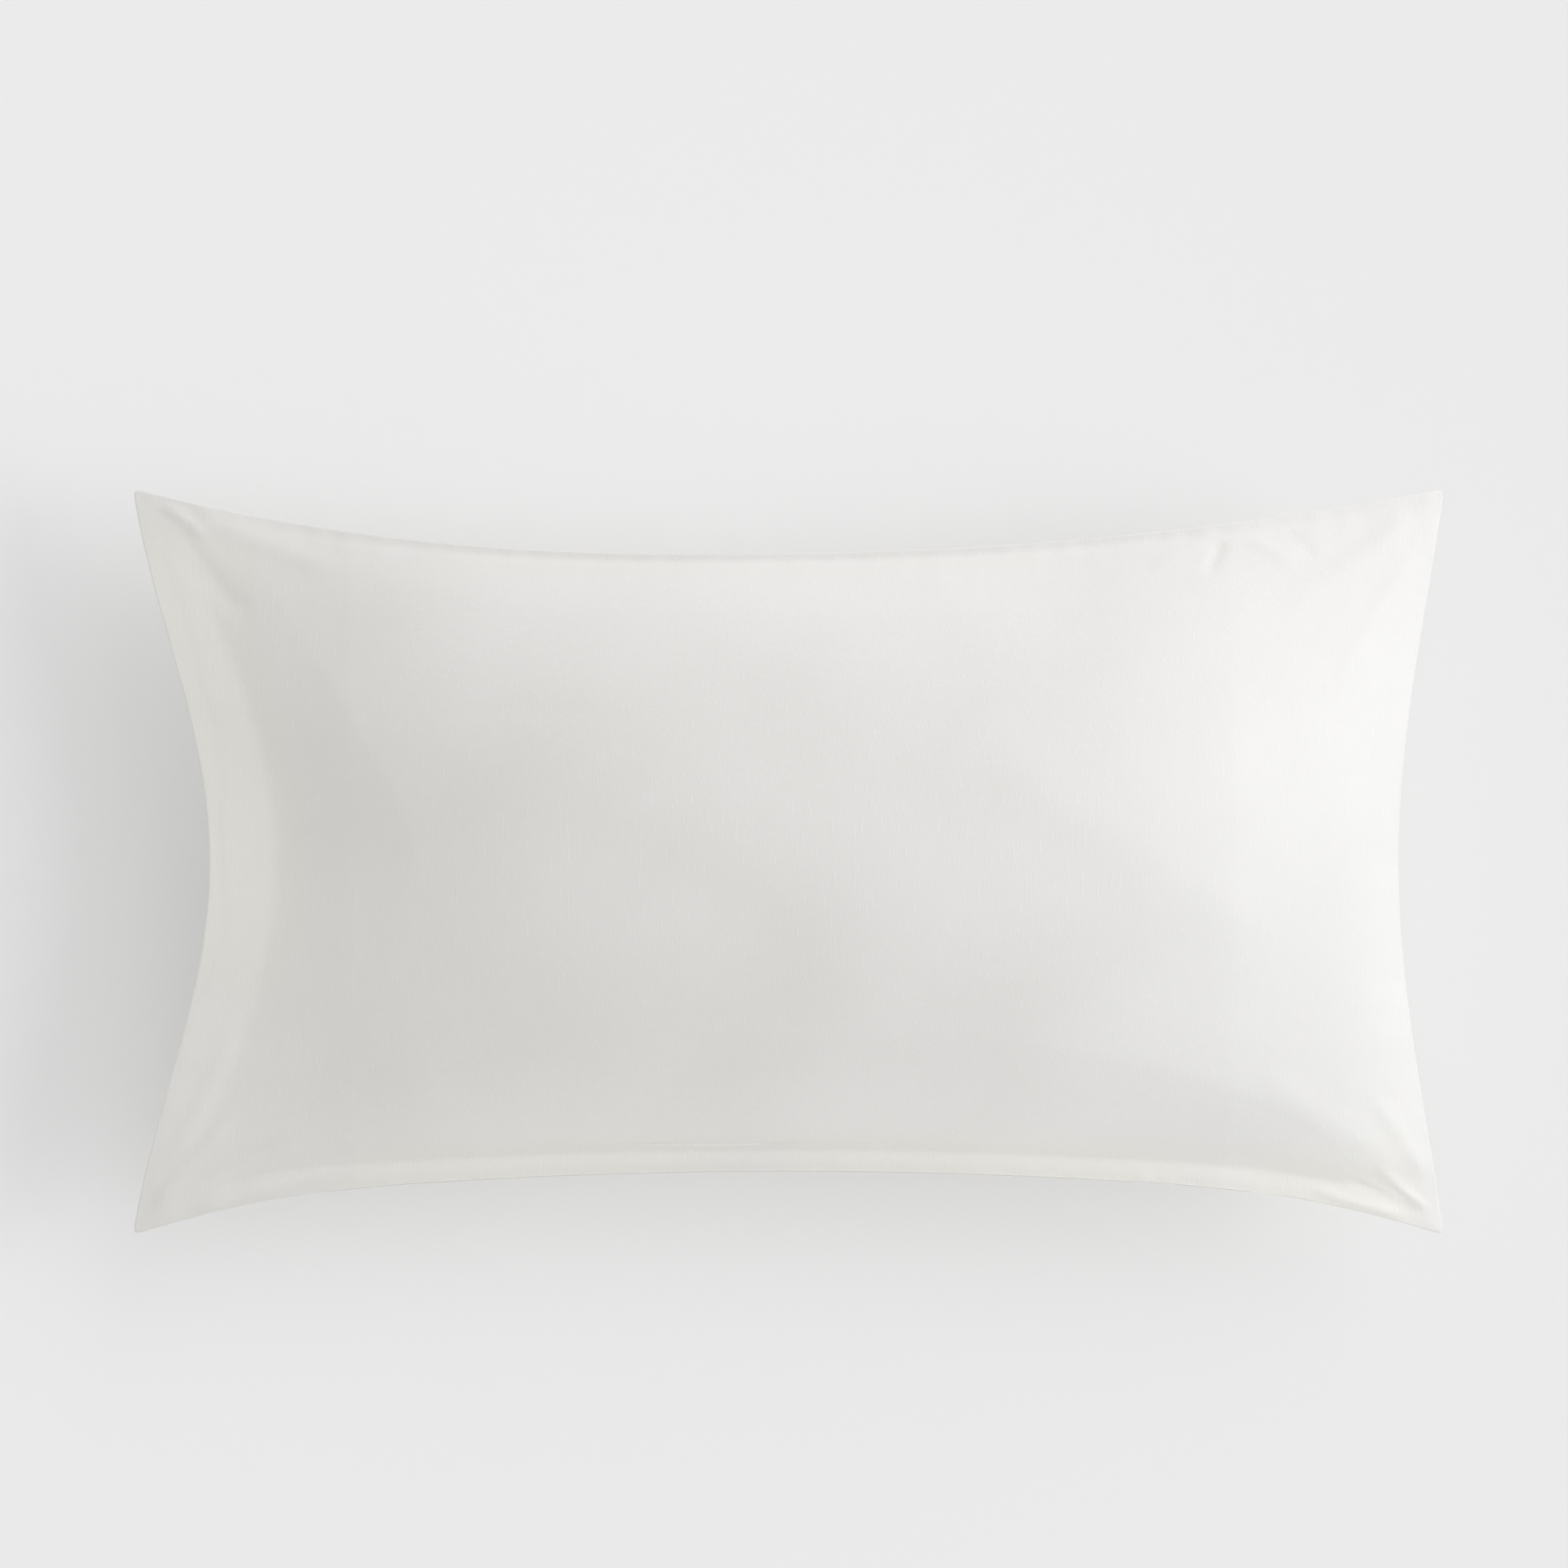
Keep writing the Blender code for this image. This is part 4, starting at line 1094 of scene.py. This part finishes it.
def build_camera():
    data = bpy.data.cameras.new("camera")
    data.sensor_width = 36
    data.lens = data.sensor_width * CAMERA_HEIGHT / PHOTO_WIDTH
    camera = bpy.data.objects.new("camera", data)
    camera.location = (*PHOTO_CENTRE, SEAM_Z + CAMERA_HEIGHT)
    bpy.context.scene.collection.objects.link(camera)
    bpy.context.scene.camera = camera


# ---------------------------------------------------------------- the whole pillow

METAL_PARTS = ("zip_bottom_stop", "zip_slider", "zip_pull_tab", "zip_top_stop_front",
               "zip_top_stop_back")


def build_cover(form, thread):
    cloth = cloth_material("slub_cotton", CLOTH_DARK, CLOTH_LIGHT, COVER_WEAVE)
    panels = []
    for side, shape, up in zip(("front", "back"), form, (1, -1)):
        panel = panel_object(f"cover_{side}_cloth", shape, up, cloth)
        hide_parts(f"cover_{side}_panel")
        panels.append(panel)
    seam = cover_seam(thread)
    return panels, seam


def build_zip(thread):
    tape, nylon, metal = tape_material(), nylon_material(), metal_material()
    for side, up in (("front", 1), ("back", -1)):
        paint(frame["nodes"][f"zip_tape_{side}"], tape)
        coil(side, up, nylon)
        zip_stitches(side, up, thread)
    for name in METAL_PARTS:
        paint(frame["nodes"][name], metal)
        rounded(frame["nodes"][name])


def paint(node, material):
    node.data.materials.clear()
    node.data.materials.append(material)


def rounded(node):
    """Wears a metal part's edges."""
    bevel = node.modifiers.new("worn_edges", "BEVEL")
    bevel.width, bevel.segments = 0.12 * MM, 2
    bevel.limit_method = "ANGLE"
    bevel.angle_limit = math.radians(40)


def build_insert(form, thread):
    ticking = cloth_material("ticking", TICKING_DARK, TICKING_LIGHT, TICKING_WEAVE, slub=0.15,
                             sheen=0.1)
    panels = []
    for side, shape, up in zip(("front", "back"), form, (1, -1)):
        panel = insert_panel(f"insert_{side}_ticking", shape, up, ticking)
        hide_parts(f"insert_{side}_panel")
        panels.append(panel)
    insert_seams(thread)
    fill = filling(*form, fibre_material())
    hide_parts("fibre_fill")
    return panels, fill


def main():
    build_camera()
    form = simulated_form()
    thread = thread_material()
    cover, seam = build_cover(form, thread)
    build_zip(thread)
    insert, fill = build_insert(form, thread)
    satin = label_material()
    label("cover_blank_label", "cover_care_label", form[1], -1, satin)
    label("insert_blank_label", "insert_label", form[0], 1, satin)
    build_studio()


main()
